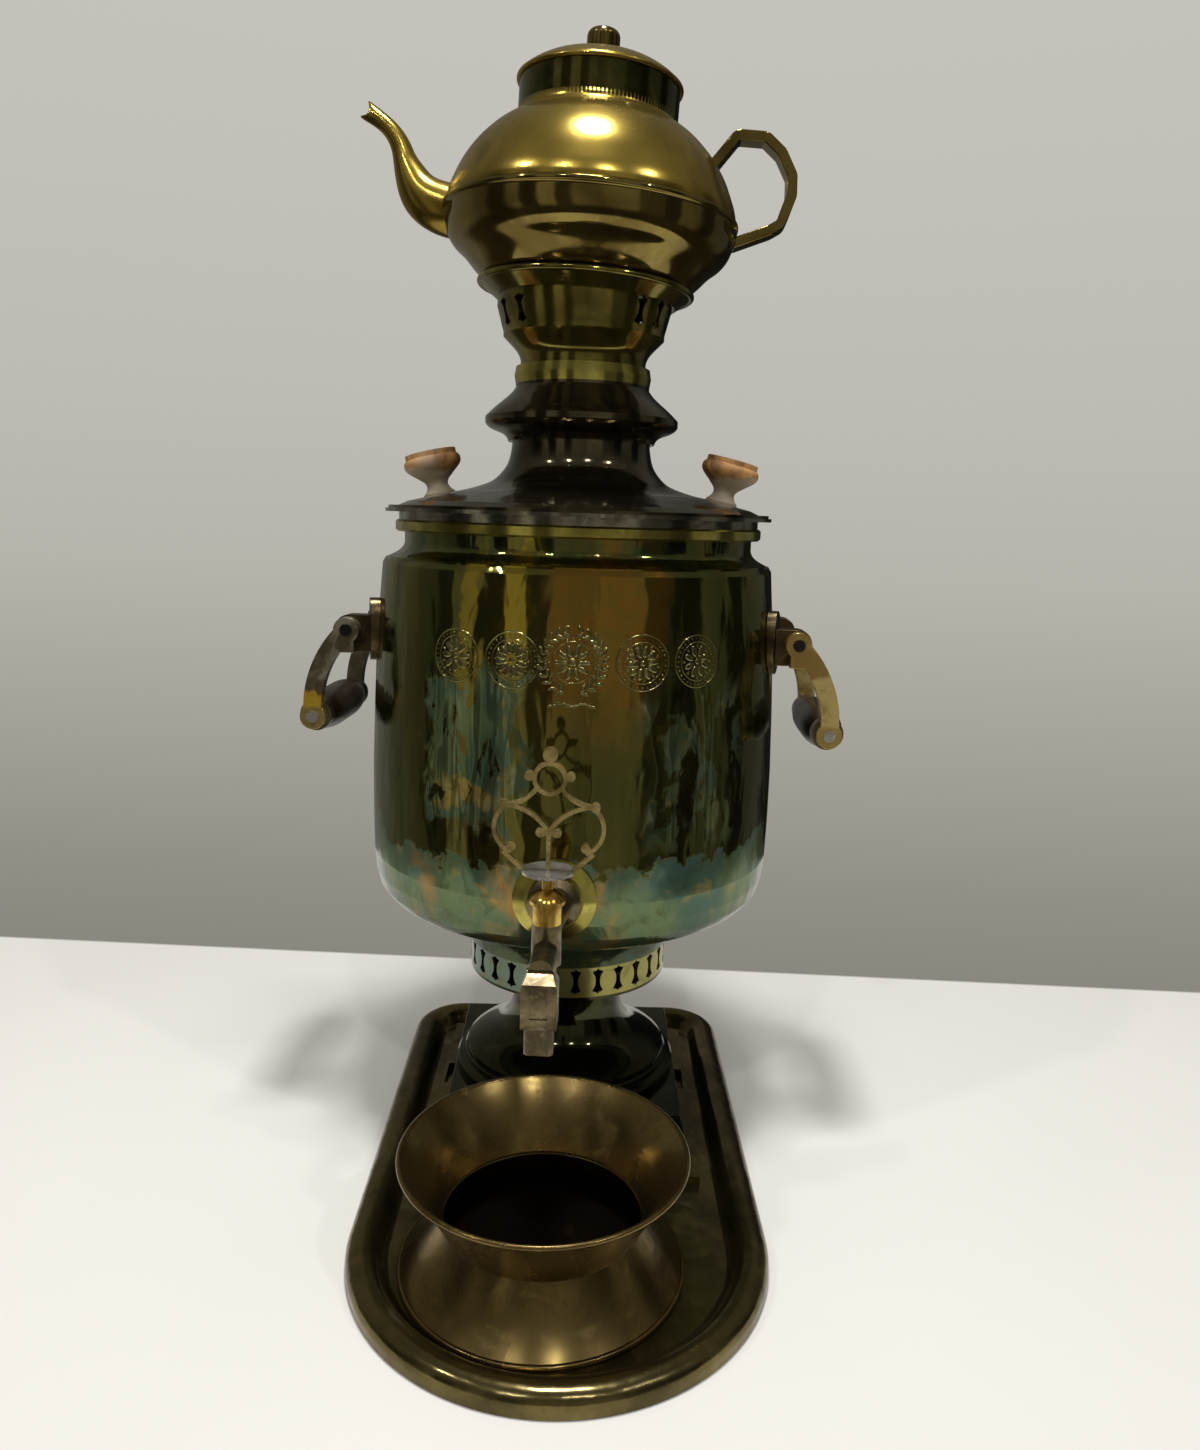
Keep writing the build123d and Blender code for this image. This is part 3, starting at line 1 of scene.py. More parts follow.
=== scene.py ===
# %% [markdown]
# # A charcoal samovar with its teapot, slop bowl and tray
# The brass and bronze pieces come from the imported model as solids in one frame, in metres, with
# +Z up and the tap along -Y. This lesson dresses them: it gives each piece its finish, and it
# rebuilds the pieces whose look needs a finer mesh than the solid has.

# %% Load the frame
import json
import math

import bmesh
import bpy
from mathutils import Matrix, Vector
from mathutils.bvhtree import BVHTree

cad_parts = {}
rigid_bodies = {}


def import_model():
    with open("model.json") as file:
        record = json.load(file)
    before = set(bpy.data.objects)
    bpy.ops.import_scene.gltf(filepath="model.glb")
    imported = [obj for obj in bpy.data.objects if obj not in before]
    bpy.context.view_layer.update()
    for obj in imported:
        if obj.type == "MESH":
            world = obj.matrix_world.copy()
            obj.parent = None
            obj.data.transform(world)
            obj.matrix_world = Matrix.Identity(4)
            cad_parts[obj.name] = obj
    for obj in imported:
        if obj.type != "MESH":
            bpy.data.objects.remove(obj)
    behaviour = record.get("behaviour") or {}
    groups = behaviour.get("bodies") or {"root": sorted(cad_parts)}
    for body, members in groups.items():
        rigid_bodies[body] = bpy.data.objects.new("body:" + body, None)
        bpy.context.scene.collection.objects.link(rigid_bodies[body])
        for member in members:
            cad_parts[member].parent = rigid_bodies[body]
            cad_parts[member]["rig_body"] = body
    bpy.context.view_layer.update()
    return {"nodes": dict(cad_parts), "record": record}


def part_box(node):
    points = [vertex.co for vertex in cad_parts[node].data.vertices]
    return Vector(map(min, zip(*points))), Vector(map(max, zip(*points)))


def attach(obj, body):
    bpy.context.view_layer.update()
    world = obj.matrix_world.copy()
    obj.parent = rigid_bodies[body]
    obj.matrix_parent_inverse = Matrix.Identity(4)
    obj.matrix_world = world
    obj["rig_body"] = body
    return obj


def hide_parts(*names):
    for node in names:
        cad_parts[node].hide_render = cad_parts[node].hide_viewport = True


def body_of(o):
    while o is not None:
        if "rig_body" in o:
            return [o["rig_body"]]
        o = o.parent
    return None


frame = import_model()
nodes = frame["nodes"]

# %% [markdown]
# ## The camera
# The camera stands a little above the middle of the body and looks slightly down, so the bowl's
# inside shows as well as the teapot's lid. A camera's place is easiest to read as a heading, a
# pitch and a roll, multiplied in that order.

# %% Camera
CAMERA_PLACE = (0.03694, -0.58715, 0.33719)
CAMERA_HEADING = math.radians(2.1926)
CAMERA_PITCH = math.radians(-10.078)
CAMERA_ROLL = math.radians(1.7594)
CAMERA_LENS = 26.387
CAMERA_SHIFT = -0.01444

camera_data = bpy.data.cameras.new("camera")
camera_data.lens = CAMERA_LENS
camera_data.sensor_width = 36
camera_data.shift_y = CAMERA_SHIFT
camera_data.clip_start = 0.01
camera = bpy.data.objects.new("camera", camera_data)
camera.matrix_world = (
    Matrix.Translation(CAMERA_PLACE)
    @ Matrix.Rotation(CAMERA_HEADING, 4, "Z")
    @ Matrix.Rotation(math.pi / 2 + CAMERA_PITCH, 4, "X")
    @ Matrix.Rotation(CAMERA_ROLL, 4, "Z")
)
scene = bpy.context.scene
scene.collection.objects.link(camera)
scene.camera = camera
scene.view_settings.view_transform = "Standard"
print("camera at", CAMERA_PLACE, "lens", CAMERA_LENS, "mm")

# %% [markdown]
# ## Shader maths in Python
# A material is a net of nodes. Written out node by node it is long and hard to read, so a small
# class wraps a socket and turns `1 - mask` or `height * 3` into Math nodes. Every other node comes
# from one method that takes the node's type, its settings and what its sockets get.


# %% A wire between nodes
class Wire:
    """A node's output that arithmetic works on."""

    def __init__(self, finish, socket):
        self.finish, self.socket = finish, socket

    def maths(self, operation, *values):
        inputs = dict(enumerate(values))
        return self.finish.node("ShaderNodeMath", {"operation": operation}, inputs)

    def __add__(self, other):
        return self.maths("ADD", self, other)

    def __radd__(self, other):
        return self.maths("ADD", other, self)

    def __sub__(self, other):
        return self.maths("SUBTRACT", self, other)

    def __rsub__(self, other):
        return self.maths("SUBTRACT", other, self)

    def __mul__(self, other):
        return self.maths("MULTIPLY", self, other)

    def __rmul__(self, other):
        return self.maths("MULTIPLY", other, self)

    def __truediv__(self, other):
        return self.maths("DIVIDE", self, other)

    def __rtruediv__(self, other):
        return self.maths("DIVIDE", other, self)

    def __neg__(self):
        return self.maths("MULTIPLY", self, -1)

    def step(self, low, high):
        """0 below low and 1 above high, with a smooth ramp between."""
        return self.finish.node(
            "ShaderNodeMapRange",
            {"interpolation_type": "SMOOTHSTEP"},
            {"Value": self, "From Min": low, "From Max": high},
        )

    def within(self, low, high, soft):
        """1 between low and high, with edges that fade over twice the softness."""
        return self.step(low - soft, low + soft) * (1 - self.step(high - soft, high + soft))

    def between(self, low, high):
        """The wire's 0 to 1 spread over another range."""
        return self * (high - low) + low


def linear(colour):
    """A colour as it looks on a screen, 0 to 255, in the linear values that a shader takes."""
    shares = [c / 255 for c in colour]
    return tuple(s / 12.92 if s <= 0.04045 else ((s + 0.055) / 1.055) ** 2.4 for s in shares) + (1,)


print("mid grey in linear values", [round(v, 3) for v in linear((128, 128, 128))[:3]])

# %% [markdown]
# The same class makes a material for a piece and the light of the studio, because both are trees
# of nodes. It starts from the place of a point: on a piece that is the object's own coordinates,
# in the world it is the direction that one looks in. The turn is the angle round the samovar's
# axis, 0 at the tap and growing towards +X, because stains and reflections on a round body are
# easiest to place by it.


# %% A finish under construction
class Finish:
    """The nodes of a material, or of the world."""

    def __init__(self, name, block=None, place="Object"):
        self.material = block or bpy.data.materials.new(name)
        self.material.use_nodes = True
        self.tree = self.material.node_tree
        self.shader = self.tree.nodes.get("Principled BSDF")
        self.point = self.node("ShaderNodeTexCoord", output=place)
        split = self.tree.nodes.new("ShaderNodeSeparateXYZ")
        self.tree.links.new(self.point.socket, split.inputs[0])
        self.x, self.y, self.z = (Wire(self, split.outputs[axis]) for axis in "XYZ")

    def node(self, kind, settings=None, inputs=None, output=0):
        """Adds a node: settings first, then the values or wires of its sockets."""
        made = self.tree.nodes.new(kind)
        for name, value in (settings or {}).items():
            if name == "stops":
                ramp = made.color_ramp
                ramp.elements.remove(ramp.elements[1])
                ramp.elements[0].position, ramp.elements[0].color = value[0]
                for place, colour in value[1:]:
                    ramp.elements.new(place).color = colour
            else:
                setattr(made, name, value)
        for name, value in (inputs or {}).items():
            if isinstance(value, Wire):
                self.tree.links.new(value.socket, made.inputs[name])
            else:
                made.inputs[name].default_value = value
        return Wire(self, made.outputs[output])

    def turn(self):
        """The angle round the axis in radians."""
        return self.x.maths("ARCTAN2", self.x, -self.y)

    def noise(self, scale, detail=3, rough=0.5, warp=0, point=None):
        """Cloudy values from about 0.2 to 0.8. The scale is in lumps a metre."""
        return self.node(
            "ShaderNodeTexNoise",
            inputs={
                "Vector": point or self.point,
                "Scale": scale,
                "Detail": detail,
                "Roughness": rough,
                "Distortion": warp,
            },
        )

    def stretched(self, x, y, z):
        """The object's own coordinates, each axis multiplied, so that a pattern runs long."""
        return self.node(
            "ShaderNodeVectorMath",
            {"operation": "MULTIPLY"},
            {0: self.point, 1: (x, y, z)},
        )

    def mix(self, share, first, second):
        """From the first colour to the second, by the share."""
        first, second = (c if isinstance(c, Wire) else linear(c) for c in (first, second))
        return self.node(
            "ShaderNodeMix",
            {"data_type": "RGBA", "clamp_factor": True},
            {0: share, 6: first, 7: second},
            output=2,
        )

    def ramp(self, value, *stops):
        """Colours along a value."""
        listed = [(place, linear(colour)) for place, colour in stops]
        return self.node("ShaderNodeValToRGB", {"stops": listed}, {"Fac": value})

    def bump(self, height, depth, under=None):
        """Bumps of about the depth, in metres, where the height runs from 0 to 1."""
        inputs = {"Height": height, "Distance": depth, "Strength": 1}
        if under:
            inputs["Normal"] = under
        return self.node("ShaderNodeBump", inputs=inputs)

    def finish(self, **sockets):
        """Links or sets the shader's sockets and returns the material."""
        for name, value in sockets.items():
            socket = self.shader.inputs[name.replace("_", " ").title()]
            if isinstance(value, Wire):
                self.tree.links.new(value.socket, socket)
            else:
                socket.default_value = value
        return self.material

    def blend_shaders(self, share, first, second):
        """A shader between two others."""
        return self.node("ShaderNodeMixShader", inputs={0: share, 1: first, 2: second})

    def show(self, surface):
        """Links a shader to the material's or the world's output."""
        ends = [node for node in self.tree.nodes if node.type.startswith("OUTPUT")]
        self.tree.links.new(surface.socket, ends[0].inputs["Surface"])


print("finish class ready")

# %% [markdown]
# ## The studio
# Polished brass has hardly a colour of its own: it shows the room. So the room matters as much as
# the metal. What the camera sees behind the samovar is a pale wall that darkens towards the table.
# What the brass mirrors is a room with pale walls, dark doorways and a plain ceiling, painted as
# bands round the horizon. What lights the dull surfaces is an even grey sky.

# %% The room round the samovar
studio = Finish("studio", bpy.data.worlds.new("studio"), "Generated")
scene.world = studio.material

# The wall's darkening towards the table is painted shade
WALL_BEHIND = ((0, (134, 131, 123)), (0.18, (146, 143, 135)), (0.42, (181, 179, 170)),
               (0.62, (190, 187, 180)), (1, (199, 196, 190)))
wall = studio.ramp(studio.z.step(-0.6, 0.6), *WALL_BEHIND)

# Degrees from the tap's side, and how bright the room is there
ROOM_BANDS = (
    (-180, (118, 116, 110)), (-122, (124, 122, 114)), (-96, (96, 94, 88)), (-84, (84, 82, 76)),
    (-81, (34, 33, 30)), (-66, (40, 39, 36)), (-64, (132, 129, 116)), (-54, (140, 136, 122)),
    (-52, (26, 25, 22)), (-39, (30, 28, 25)), (-37, (160, 155, 138)), (-25, (150, 146, 130)),
    (-23, (48, 45, 39)), (-13, (56, 52, 46)), (-10, (134, 130, 118)), (12, (126, 122, 111)),
    (14, (150, 146, 132)), (38, (138, 134, 122)), (41, (74, 72, 66)), (60, (66, 64, 58)),
    (62, (24, 23, 21)), (74, (20, 19, 18)), (77, (110, 108, 99)), (96, (104, 102, 94)),
    (99, (18, 17, 16)), (112, (22, 21, 19)), (116, (92, 91, 85)), (140, (88, 87, 81)),
    (146, (24, 24, 22)), (172, (34, 34, 31)), (180, (118, 116, 110)),
)
DARK_FLOOR, CEILING, EVEN_SKY = (44, 38, 31), (112, 110, 104), (156, 153, 149)
# How steeply one looks down or up where the floor and the ceiling of the room fade in
FLOOR_FADE, CEILING_FADE = (-0.5, -0.3), (0.3, 0.62)
round_room = studio.turn() / (2 * math.pi) + 0.5
bands = studio.ramp(round_room, *[(turn / 360 + 0.5, colour) for turn, colour in ROOM_BANDS])
room = studio.mix(studio.z.step(*CEILING_FADE), bands, CEILING)
room = studio.mix(1 - studio.z.step(*FLOOR_FADE), room, DARK_FLOOR)

RAY = "ShaderNodeLightPath"
lit = studio.mix(studio.node(RAY, output="Is Glossy Ray"), EVEN_SKY, room)
seen = studio.mix(studio.node(RAY, output="Is Camera Ray"), lit, wall)
studio.show(studio.node("ShaderNodeBackground", inputs={"Color": seen, "Strength": 1}))
print("bands round the room", len(ROOM_BANDS))

# %% [markdown]
# The table is a plain white top that ends a hand's breadth behind the samovar. The floor that goes
# on behind it and far out to the sides takes the wall's grey, so that no horizon shows. In the
# brass the top ends a little way out as well, and the dark room begins, which is what draws the
# dark upper part of the body.

# %% Table
TABLE_BACK = 0.175
TABLE_REACH = 0.49
FLOOR_REACH = 6
FLOOR_FADES_OUT = (0.55, 1.7)
floor_mesh = bpy.data.meshes.new("table")
shape = bmesh.new()
bmesh.ops.create_grid(shape, x_segments=1, y_segments=1, size=FLOOR_REACH)
shape.to_mesh(floor_mesh)
shape.free()
table = bpy.data.objects.new("table", floor_mesh)
scene.collection.objects.link(table)

top = Finish("table_top")
behind = top.y.step(TABLE_BACK - 0.002, TABLE_BACK + 0.002)
white = top.finish(
    base_color=top.mix(top.noise(5, 3), (240, 238, 232), (233, 231, 225)), roughness=0.6
)
# The wall's grey goes up the floor as it does up the wall: dark at the table, pale far behind it;
# the floor glows with it for the camera alone, and the darkening at the table is painted shade
GLOW_BEHIND = ((0.1, (183, 181, 172)), (0.35, (171, 168, 159)), (0.8, (146, 143, 135)),
               (1, (138, 135, 127)))
FAR_GREY = (184, 182, 173)
nearness = (TABLE_BACK - CAMERA_PLACE[1]) / (top.y - CAMERA_PLACE[1])
reach = top.x.maths("SQRT", top.x * top.x + top.y * top.y)
beyond = reach.step(*FLOOR_FADES_OUT) * (1 - behind)
glow = top.mix(beyond, top.ramp(nearness, *GLOW_BEHIND), FAR_GREY)
far_wall = top.node("ShaderNodeEmission", inputs={"Color": glow, "Strength": 1})
hidden = behind.maths("MAXIMUM", behind, beyond) * top.node(RAY, output="Is Camera Ray")
surface = top.blend_shaders(hidden, Wire(top, top.shader.outputs[0]), far_wall)
away = reach.step(TABLE_REACH - 0.01, TABLE_REACH)
clear = top.node("ShaderNodeBsdfTransparent")
top.show(top.blend_shaders(away * top.node(RAY, output="Is Glossy Ray"), surface, clear))
floor_mesh.materials.append(white)
print("table ends at", TABLE_BACK, "m behind the axis")

# %% [markdown]
# The lamps are small, because a lamp shows in polished brass as a spot of its own size: one hangs
# above the table, and four stand for the spots in the room's ceiling.


# %% Lamps
def soft_box(name, place, side, power):
    """A square lamp that faces the body's middle."""
    data = bpy.data.lights.new(name, "AREA")
    data.shape = "RECTANGLE"
    data.size = data.size_y = side
    data.energy = power
    lamp = bpy.data.objects.new(name, data)
    lamp.location = place
    lamp.rotation_euler = (LAMP_TARGET - Vector(place)).to_track_quat("-Z", "Y").to_euler()
    scene.collection.objects.link(lamp)
    print(name, place, power, "W")


LAMP_TARGET = Vector((0, 0, 0.2))
CEILING_SPOTS = ((-1.15, -0.8, 1.7), (-0.5, -1.5, 1.8), (0.45, -1.55, 1.8), (1.2, -0.9, 1.7))
soft_box("lamp_above", (0.02, -0.12, 1.3), 0.15, 9.4)
for count, spot in enumerate(CEILING_SPOTS):
    soft_box(f"ceiling_spot_{count}", spot, 0.07, 4.4)

# %% [markdown]
# ## Finishes of worn brass
# All the metal here is brass that has been polished, handled and left to darken, so one recipe
# serves it: a ground colour, clouds of a tarnish colour, fine specks, and a roughness that follows
# them. Each finish gives the recipe its own tones.


# %% Brass recipe
def brass(name, ground, tarnish, bright, roughness, lumps=22, waves=0.0002, specks=0.35,
          metallic=0.95):
    """A tarnished brass. The tarnish lies in so many lumps a metre, and the waves are the depth
    of the shallow dents, in metres."""
    made = Finish(name)
    cloud = made.noise(lumps, 5, 0.6, 0.4).step(0.38, 0.64)
    speck = made.noise(420, 3, 0.6).step(0.5, 0.72)
    wear = made.noise(lumps * 2.3, 4, 0.55, 0.8).step(0.55, 0.75)
    colour = made.mix(cloud, ground, tarnish)
    colour = made.mix(wear * 0.55, colour, bright)
    colour = made.mix(speck * specks, colour, tarnish)
    gloss = (cloud * 0.7 + speck * 0.3).between(*roughness)
    dents = made.bump(made.noise(38, 2, 0.5), waves)
    grain = made.bump(made.noise(900, 3, 0.6), waves * 0.015, dents)
    return made.finish(base_color=colour, metallic=metallic, roughness=gloss, normal=grain)


print("brass recipe ready")

# %% [markdown]
# The first finishes are the usual ones of their material, one for each slot of the model. The
# others are for single pieces that look unlike the rest of their slot: the gold of the pot's upper
# half, its green neck, the yellow plug, the grey edge of the lid, which is a painted sheen, the
# bowl's floor, painted dark as shade, and the stamps, painted lighter as highlights on their
# outlines. The body, the handles' arms and the pierced ring have stains of their own, with painted
# reflection on the body's strips and the left arms, and get their finishes after these.

# %% Brass finishes
# Ground, tarnish and bright tones, the roughness from clean to tarnished, and what else differs
BRASS_TONES = {
    "tray_brass": ((112, 100, 62), (78, 70, 44), (146, 134, 84), (0.16, 0.3), {"waves": 0.0012}),
    "bowl_brass": ((132, 112, 66), (92, 76, 44), (168, 146, 92), (0.2, 0.34), {"specks": 0.6}),
    "foot_brass": ((66, 66, 44), (42, 44, 30), (92, 94, 64), (0.06, 0.16), {}),
    "ring_brass": ((190, 180, 92), (132, 124, 58), (228, 216, 132), (0.1, 0.22), {}),
    "lid_brass": ((100, 92, 70), (64, 59, 46), (136, 128, 106), (0.08, 0.2), {"waves": 0.0005}),
    "crown_brass": ((140, 130, 64), (92, 84, 42), (176, 164, 92), (0.1, 0.22), {}),
    "teapot_brass": ((138, 122, 66), (104, 88, 44), (160, 146, 90), (0.07, 0.16), {}),
    "tap_bronze": ((126, 114, 84), (82, 72, 54), (158, 148, 116), (0.24, 0.4), {"lumps": 80}),
    "key_brass": ((192, 172, 112), (132, 114, 70), (226, 210, 156), (0.26, 0.4),
                  {"lumps": 90, "metallic": 0.75}),
    "disc_metal": ((206, 204, 194), (158, 154, 142), (236, 234, 226), (0.16, 0.3),
                   {"lumps": 120, "metallic": 0.8}),
    "handle_brass": ((184, 158, 98), (92, 76, 46), (230, 208, 144), (0.16, 0.32),
                     {"lumps": 70, "metallic": 0.85}),
    "ferrule_metal": ((128, 122, 108), (84, 80, 70), (160, 154, 138), (0.26, 0.44), {}),
    "iron": ((50, 46, 42), (34, 32, 30), (72, 66, 60), (0.5, 0.7), {}),
    "teapot_gold": ((172, 148, 66), (138, 116, 48), (190, 168, 94), (0.2, 0.28), {}),
    "plug_gold": ((222, 188, 92), (160, 120, 52), (240, 214, 130), (0.14, 0.26), {"lumps": 90}),
    "pot_neck_green": ((92, 88, 44), (58, 60, 32), (124, 122, 66), (0.08, 0.18), {}),
    # The stamps are painted lighter than the body: a painted highlight for the bright outlines of
    # their reliefs
    "stamped_brass_highlight": ((142, 136, 86), (98, 92, 54), (178, 172, 124), (0.14, 0.26), {}),
    # The bowl's floor is painted near black: painted shade at the bottom of the bowl
    "bowl_floor_painted_shade": ((44, 34, 22), (26, 20, 14), (66, 52, 34), (0.3, 0.5), {}),
    "bracket_brown": ((92, 78, 52), (54, 45, 32), (122, 104, 72), (0.28, 0.42), {"lumps": 80}),
    # The lid's rim is painted pale silvery grey: a painted sheen of reflected light along its edge
    "lid_rim_painted_sheen": ((156, 152, 134), (98, 92, 76), (210, 206, 192), (0.1, 0.22), {"lumps": 60}),
    "steel": ((214, 212, 204), (168, 164, 154), (236, 234, 228), (0.16, 0.3),
              {"lumps": 120, "metallic": 0.85}),
}
finishes = {name: brass(name, *tones, **more) for name, (*tones, more) in BRASS_TONES.items()}
print("metal finishes", len(finishes))

# %% [markdown]
# The left handle's arms are grey, a painted reflection of the room in their polished tops, but for
# a patch of clear yellow brass above the front one's grip, and the right handle's are golden. All
# four are polished by hands, and yellow again round the boss that holds the grip.

# %% Handle arms
arm = Finish("arm_metal")
# The grey of the left arms is a painted reflection, darker where they are worn
GREY_ARM_REFLECTION, GREY_ARM_REFLECTION_WORN = (168, 162, 140), (104, 96, 72)
GOLD_ARM, GOLD_ARM_WORN = (214, 192, 126), (160, 132, 74)
CLEAR_YELLOW, BOSS_YELLOW = (224, 184, 62), (176, 152, 84)
grip_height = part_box("grip_left")[1][2]
patches = arm.noise(55, 4, 0.6, 0.6)
worn = patches.step(0.42, 0.6)
right_hand = arm.x.step(-0.01, 0.01)
left_front = (1 - right_hand) * (1 - arm.y.step(-0.01, 0.01))
colour = arm.mix(
    right_hand, arm.mix(worn, GREY_ARM_REFLECTION, GREY_ARM_REFLECTION_WORN), arm.mix(worn, GOLD_ARM, GOLD_ARM_WORN)
)
shaken_height = arm.z + (patches - 0.5) * 0.03
patch = shaken_height.within(grip_height - 0.006, grip_height + 0.005, 0.002) * left_front
colour = arm.mix(patch, colour, CLEAR_YELLOW)
boss = 1 - arm.z.step(grip_height - 0.007, grip_height - 0.005)
colour = arm.mix(boss * 0.8, colour, BOSS_YELLOW)
scratches = arm.bump(arm.noise(120, 3, 0.6), 0.0004)
finishes["arm_metal"] = arm.finish(
    base_color=colour, metallic=0.8, roughness=0.24, normal=scratches
)
print("grips reach up to", round(grip_height, 4))

# %% [markdown]
# The pierced ring under the body is stained like the body above it: teal on its left and olive
# yellow on its right, with rusty freckles.

# %% Pierced ring
ring = Finish("pierced_ring")
RING_TEAL, RING_OLIVE = (104, 122, 108), (156, 150, 84)
RING_DULL, RING_RUST = (104, 100, 54), (150, 104, 54)
side = ring.turn() + (ring.noise(60, 4, 0.6) - 0.5) * 0.7
colour = ring.mix(side.step(-0.5, 0.25), RING_TEAL, RING_OLIVE)
colour = ring.mix(ring.noise(70, 5, 0.65, 0.8).step(0.48, 0.66) * 0.6, colour, RING_DULL)
colour = ring.mix(ring.noise(140, 4, 0.7).step(0.58, 0.7) * 0.55, colour, RING_RUST)
finishes["pierced_ring"] = ring.finish(base_color=colour, metallic=0.75, roughness=0.24)
print("pierced ring nodes", len(ring.tree.nodes))

# %% [markdown]
# ## The body's tarnish
# The body is a mirror with stains. It is amber at the top in front, yellow in two upright strips,
# teal in smears to the left and right of the tap and all along the foot, and each stain has a
# ragged edge, as where water ran down and dried. The yellow strips are partly tarnish and partly a
# painted reflection of bright bands of the room. The stains are placed by the turn and the height,
# and both are shaken by noise first, which is what makes their edges ragged.

# %% Body ground
stained = Finish("body_brass")
turn = stained.turn()
shake = stained.noise(52, 4, 0.62) - 0.5
ragged_turn = turn + shake * 0.3
ragged_height = stained.z + shake * 0.05

OLIVE, DARK_OLIVE, AMBER, DULL_AMBER = (128, 122, 62), (90, 92, 50), (152, 108, 42), (132, 112, 48)
YELLOW_TARNISH_AND_REFLECTION, NECK_GREEN = (172, 150, 52), (62, 92, 62)
cloud = stained.noise(16, 4, 0.6, 0.5, stained.stretched(1, 1, 0.22)).step(0.38, 0.62)
mottle = stained.noise(38, 5, 0.65, 0.4).step(0.36, 0.66)
amber = ragged_turn.within(-0.06, 0.46, 0.05) * ragged_height.step(0.215, 0.275)
# The two yellow strips are partly tarnish and partly a painted reflection of bright bands of the
# room
tarnish_and_reflection_strips = ragged_turn.within(-0.25, -0.14, 0.012) + ragged_turn.within(-0.47, -0.38, 0.012)
tarnish_and_reflection_strips = tarnish_and_reflection_strips * ragged_height.step(0.232, 0.262)
near_neck = stained.z.step(0.312, 0.316) * mottle
colour = stained.mix(cloud, OLIVE, DARK_OLIVE)
colour = stained.mix(amber * 0.9, colour, stained.mix(mottle, AMBER, DULL_AMBER))
colour = stained.mix(tarnish_and_reflection_strips * 0.75, colour, YELLOW_TARNISH_AND_REFLECTION)
colour = stained.mix(near_neck * 0.7, colour, NECK_GREEN)
print("body ground nodes", len(stained.tree.nodes))

# %% [markdown]
# The teal has tones of its own: greyer in clouds, straw-coloured where it has worn thin, orange
# near the tap and blue to the right. It covers the foot and lies in smears on both sides above.

# %% Teal smears
TEAL, GREY_TEAL, STRAW = (104, 124, 84), (74, 104, 86), (146, 132, 74)
ORANGE, BLUE_GREY, OCHRE, RED_BROWN = (168, 122, 54), (84, 112, 108), (172, 148, 70), (166, 120, 56)
smear = stained.noise(85, 5, 0.62, 0.6, stained.stretched(1, 1, 0.5))
left_smear = ragged_turn.within(-0.64, -0.14, 0.02) * ragged_height.within(0.19, 0.262, 0.003)
right_smear = ragged_turn.within(0.37, 0.9, 0.04) * ragged_height.within(0.182, 0.256, 0.008)
smears = left_smear * smear.step(0.42, 0.46) + right_smear * smear.step(0.5, 0.53) * 0.7
foot_smear = 1 - ragged_height.step(0.1725, 0.1755)

orange_turns = turn.within(-0.3, -0.16, 0.05) + turn.within(0.16, 0.3, 0.05)
orange_turns = orange_turns + turn.within(-0.75, -0.58, 0.05)
orange = orange_turns * stained.z.within(0.12, 0.172, 0.012)
orange = orange * stained.noise(30, 4, 0.6, 0.6).step(0.4, 0.6)
blue = turn.within(0.36, 0.8, 0.08) * stained.noise(24, 4, 0.6, 0.8).step(0.46, 0.6)
teal = stained.mix(stained.noise(30, 3).step(0.35, 0.6), TEAL, GREY_TEAL)
teal = stained.mix(stained.noise(44, 4, 0.6, 0.8).step(0.54, 0.66) * 0.7, teal, STRAW)
teal = stained.mix(orange * 0.65, teal, ORANGE)
teal = stained.mix(blue * 0.6, teal, BLUE_GREY)
colour = stained.mix(smears * 0.85, colour, teal)
colour = stained.mix(foot_smear * 0.95, colour, teal)

ochre = ragged_turn.within(-0.56, -0.27, 0.02) * ragged_height.within(0.2, 0.214, 0.002)
rust = ragged_turn.within(-0.42, -0.1, 0.05) * ragged_height.within(0.14, 0.19, 0.008)
colour = stained.mix(ochre * 0.8, colour, OCHRE)
colour = stained.mix(rust * smear.step(0.5, 0.58) * 0.7, colour, RED_BROWN)
print("with smears", len(stained.tree.nodes))

# %% [markdown]
# Drying water leaves runs with a dark inside and a pale edge. They are made as the contour lines
# of a map are: noise that is stretched downwards is multiplied, and only the part after the point
# is kept, so that each lump becomes a nest of rings.

# %% Runs and mottles
RUN_DARK, RUN_EDGE, TIDE = (54, 62, 38), (140, 152, 116), (140, 146, 100)
FOOT_MOTTLE, UNDERSIDE_SHADE, SPECK = (70, 82, 52), (58, 64, 40), (96, 62, 30)
runs = stained.noise(42, 3, 0.55, 0.5, stained.stretched(1, 1, 0.17)) * 9
level = runs.maths("FRACT", runs)
run_zone = ragged_turn.within(-0.62, -0.14, 0.03) + ragged_turn.within(0.36, 0.78, 0.03)
run_zone = run_zone * ragged_height.within(0.178, 0.262, 0.006)
tide = foot_smear * (1 - foot_smear) * 4
mottles = stained.noise(95, 6, 0.7, 0.7).step(0.5, 0.7) * foot_smear
# The body's underside is painted darker, in a dark olive: painted shade under the bulge
underside_shade = 1 - stained.z.step(0.114, 0.158)
speck = stained.noise(260, 3, 0.7).step(0.6, 0.74)
colour = stained.mix(level.within(0.02, 0.36, 0.05) * run_zone * 0.6, colour, RUN_DARK)
colour = stained.mix(level.within(0.42, 0.5, 0.04) * run_zone * 0.6, colour, RUN_EDGE)
colour = stained.mix(tide * 0.2, colour, TIDE)
colour = stained.mix(mottles * 0.6, colour, FOOT_MOTTLE)
colour = stained.mix(underside_shade * 0.75, colour, UNDERSIDE_SHADE)
colour = stained.mix(speck * 0.4, colour, SPECK)
print("with runs", len(stained.tree.nodes))

# %% [markdown]
# The wall is beaten sheet, so its mirror images waver: a broad swell carries a finer ripple. The
# stains make the metal a little duller, and don't stand out from it.

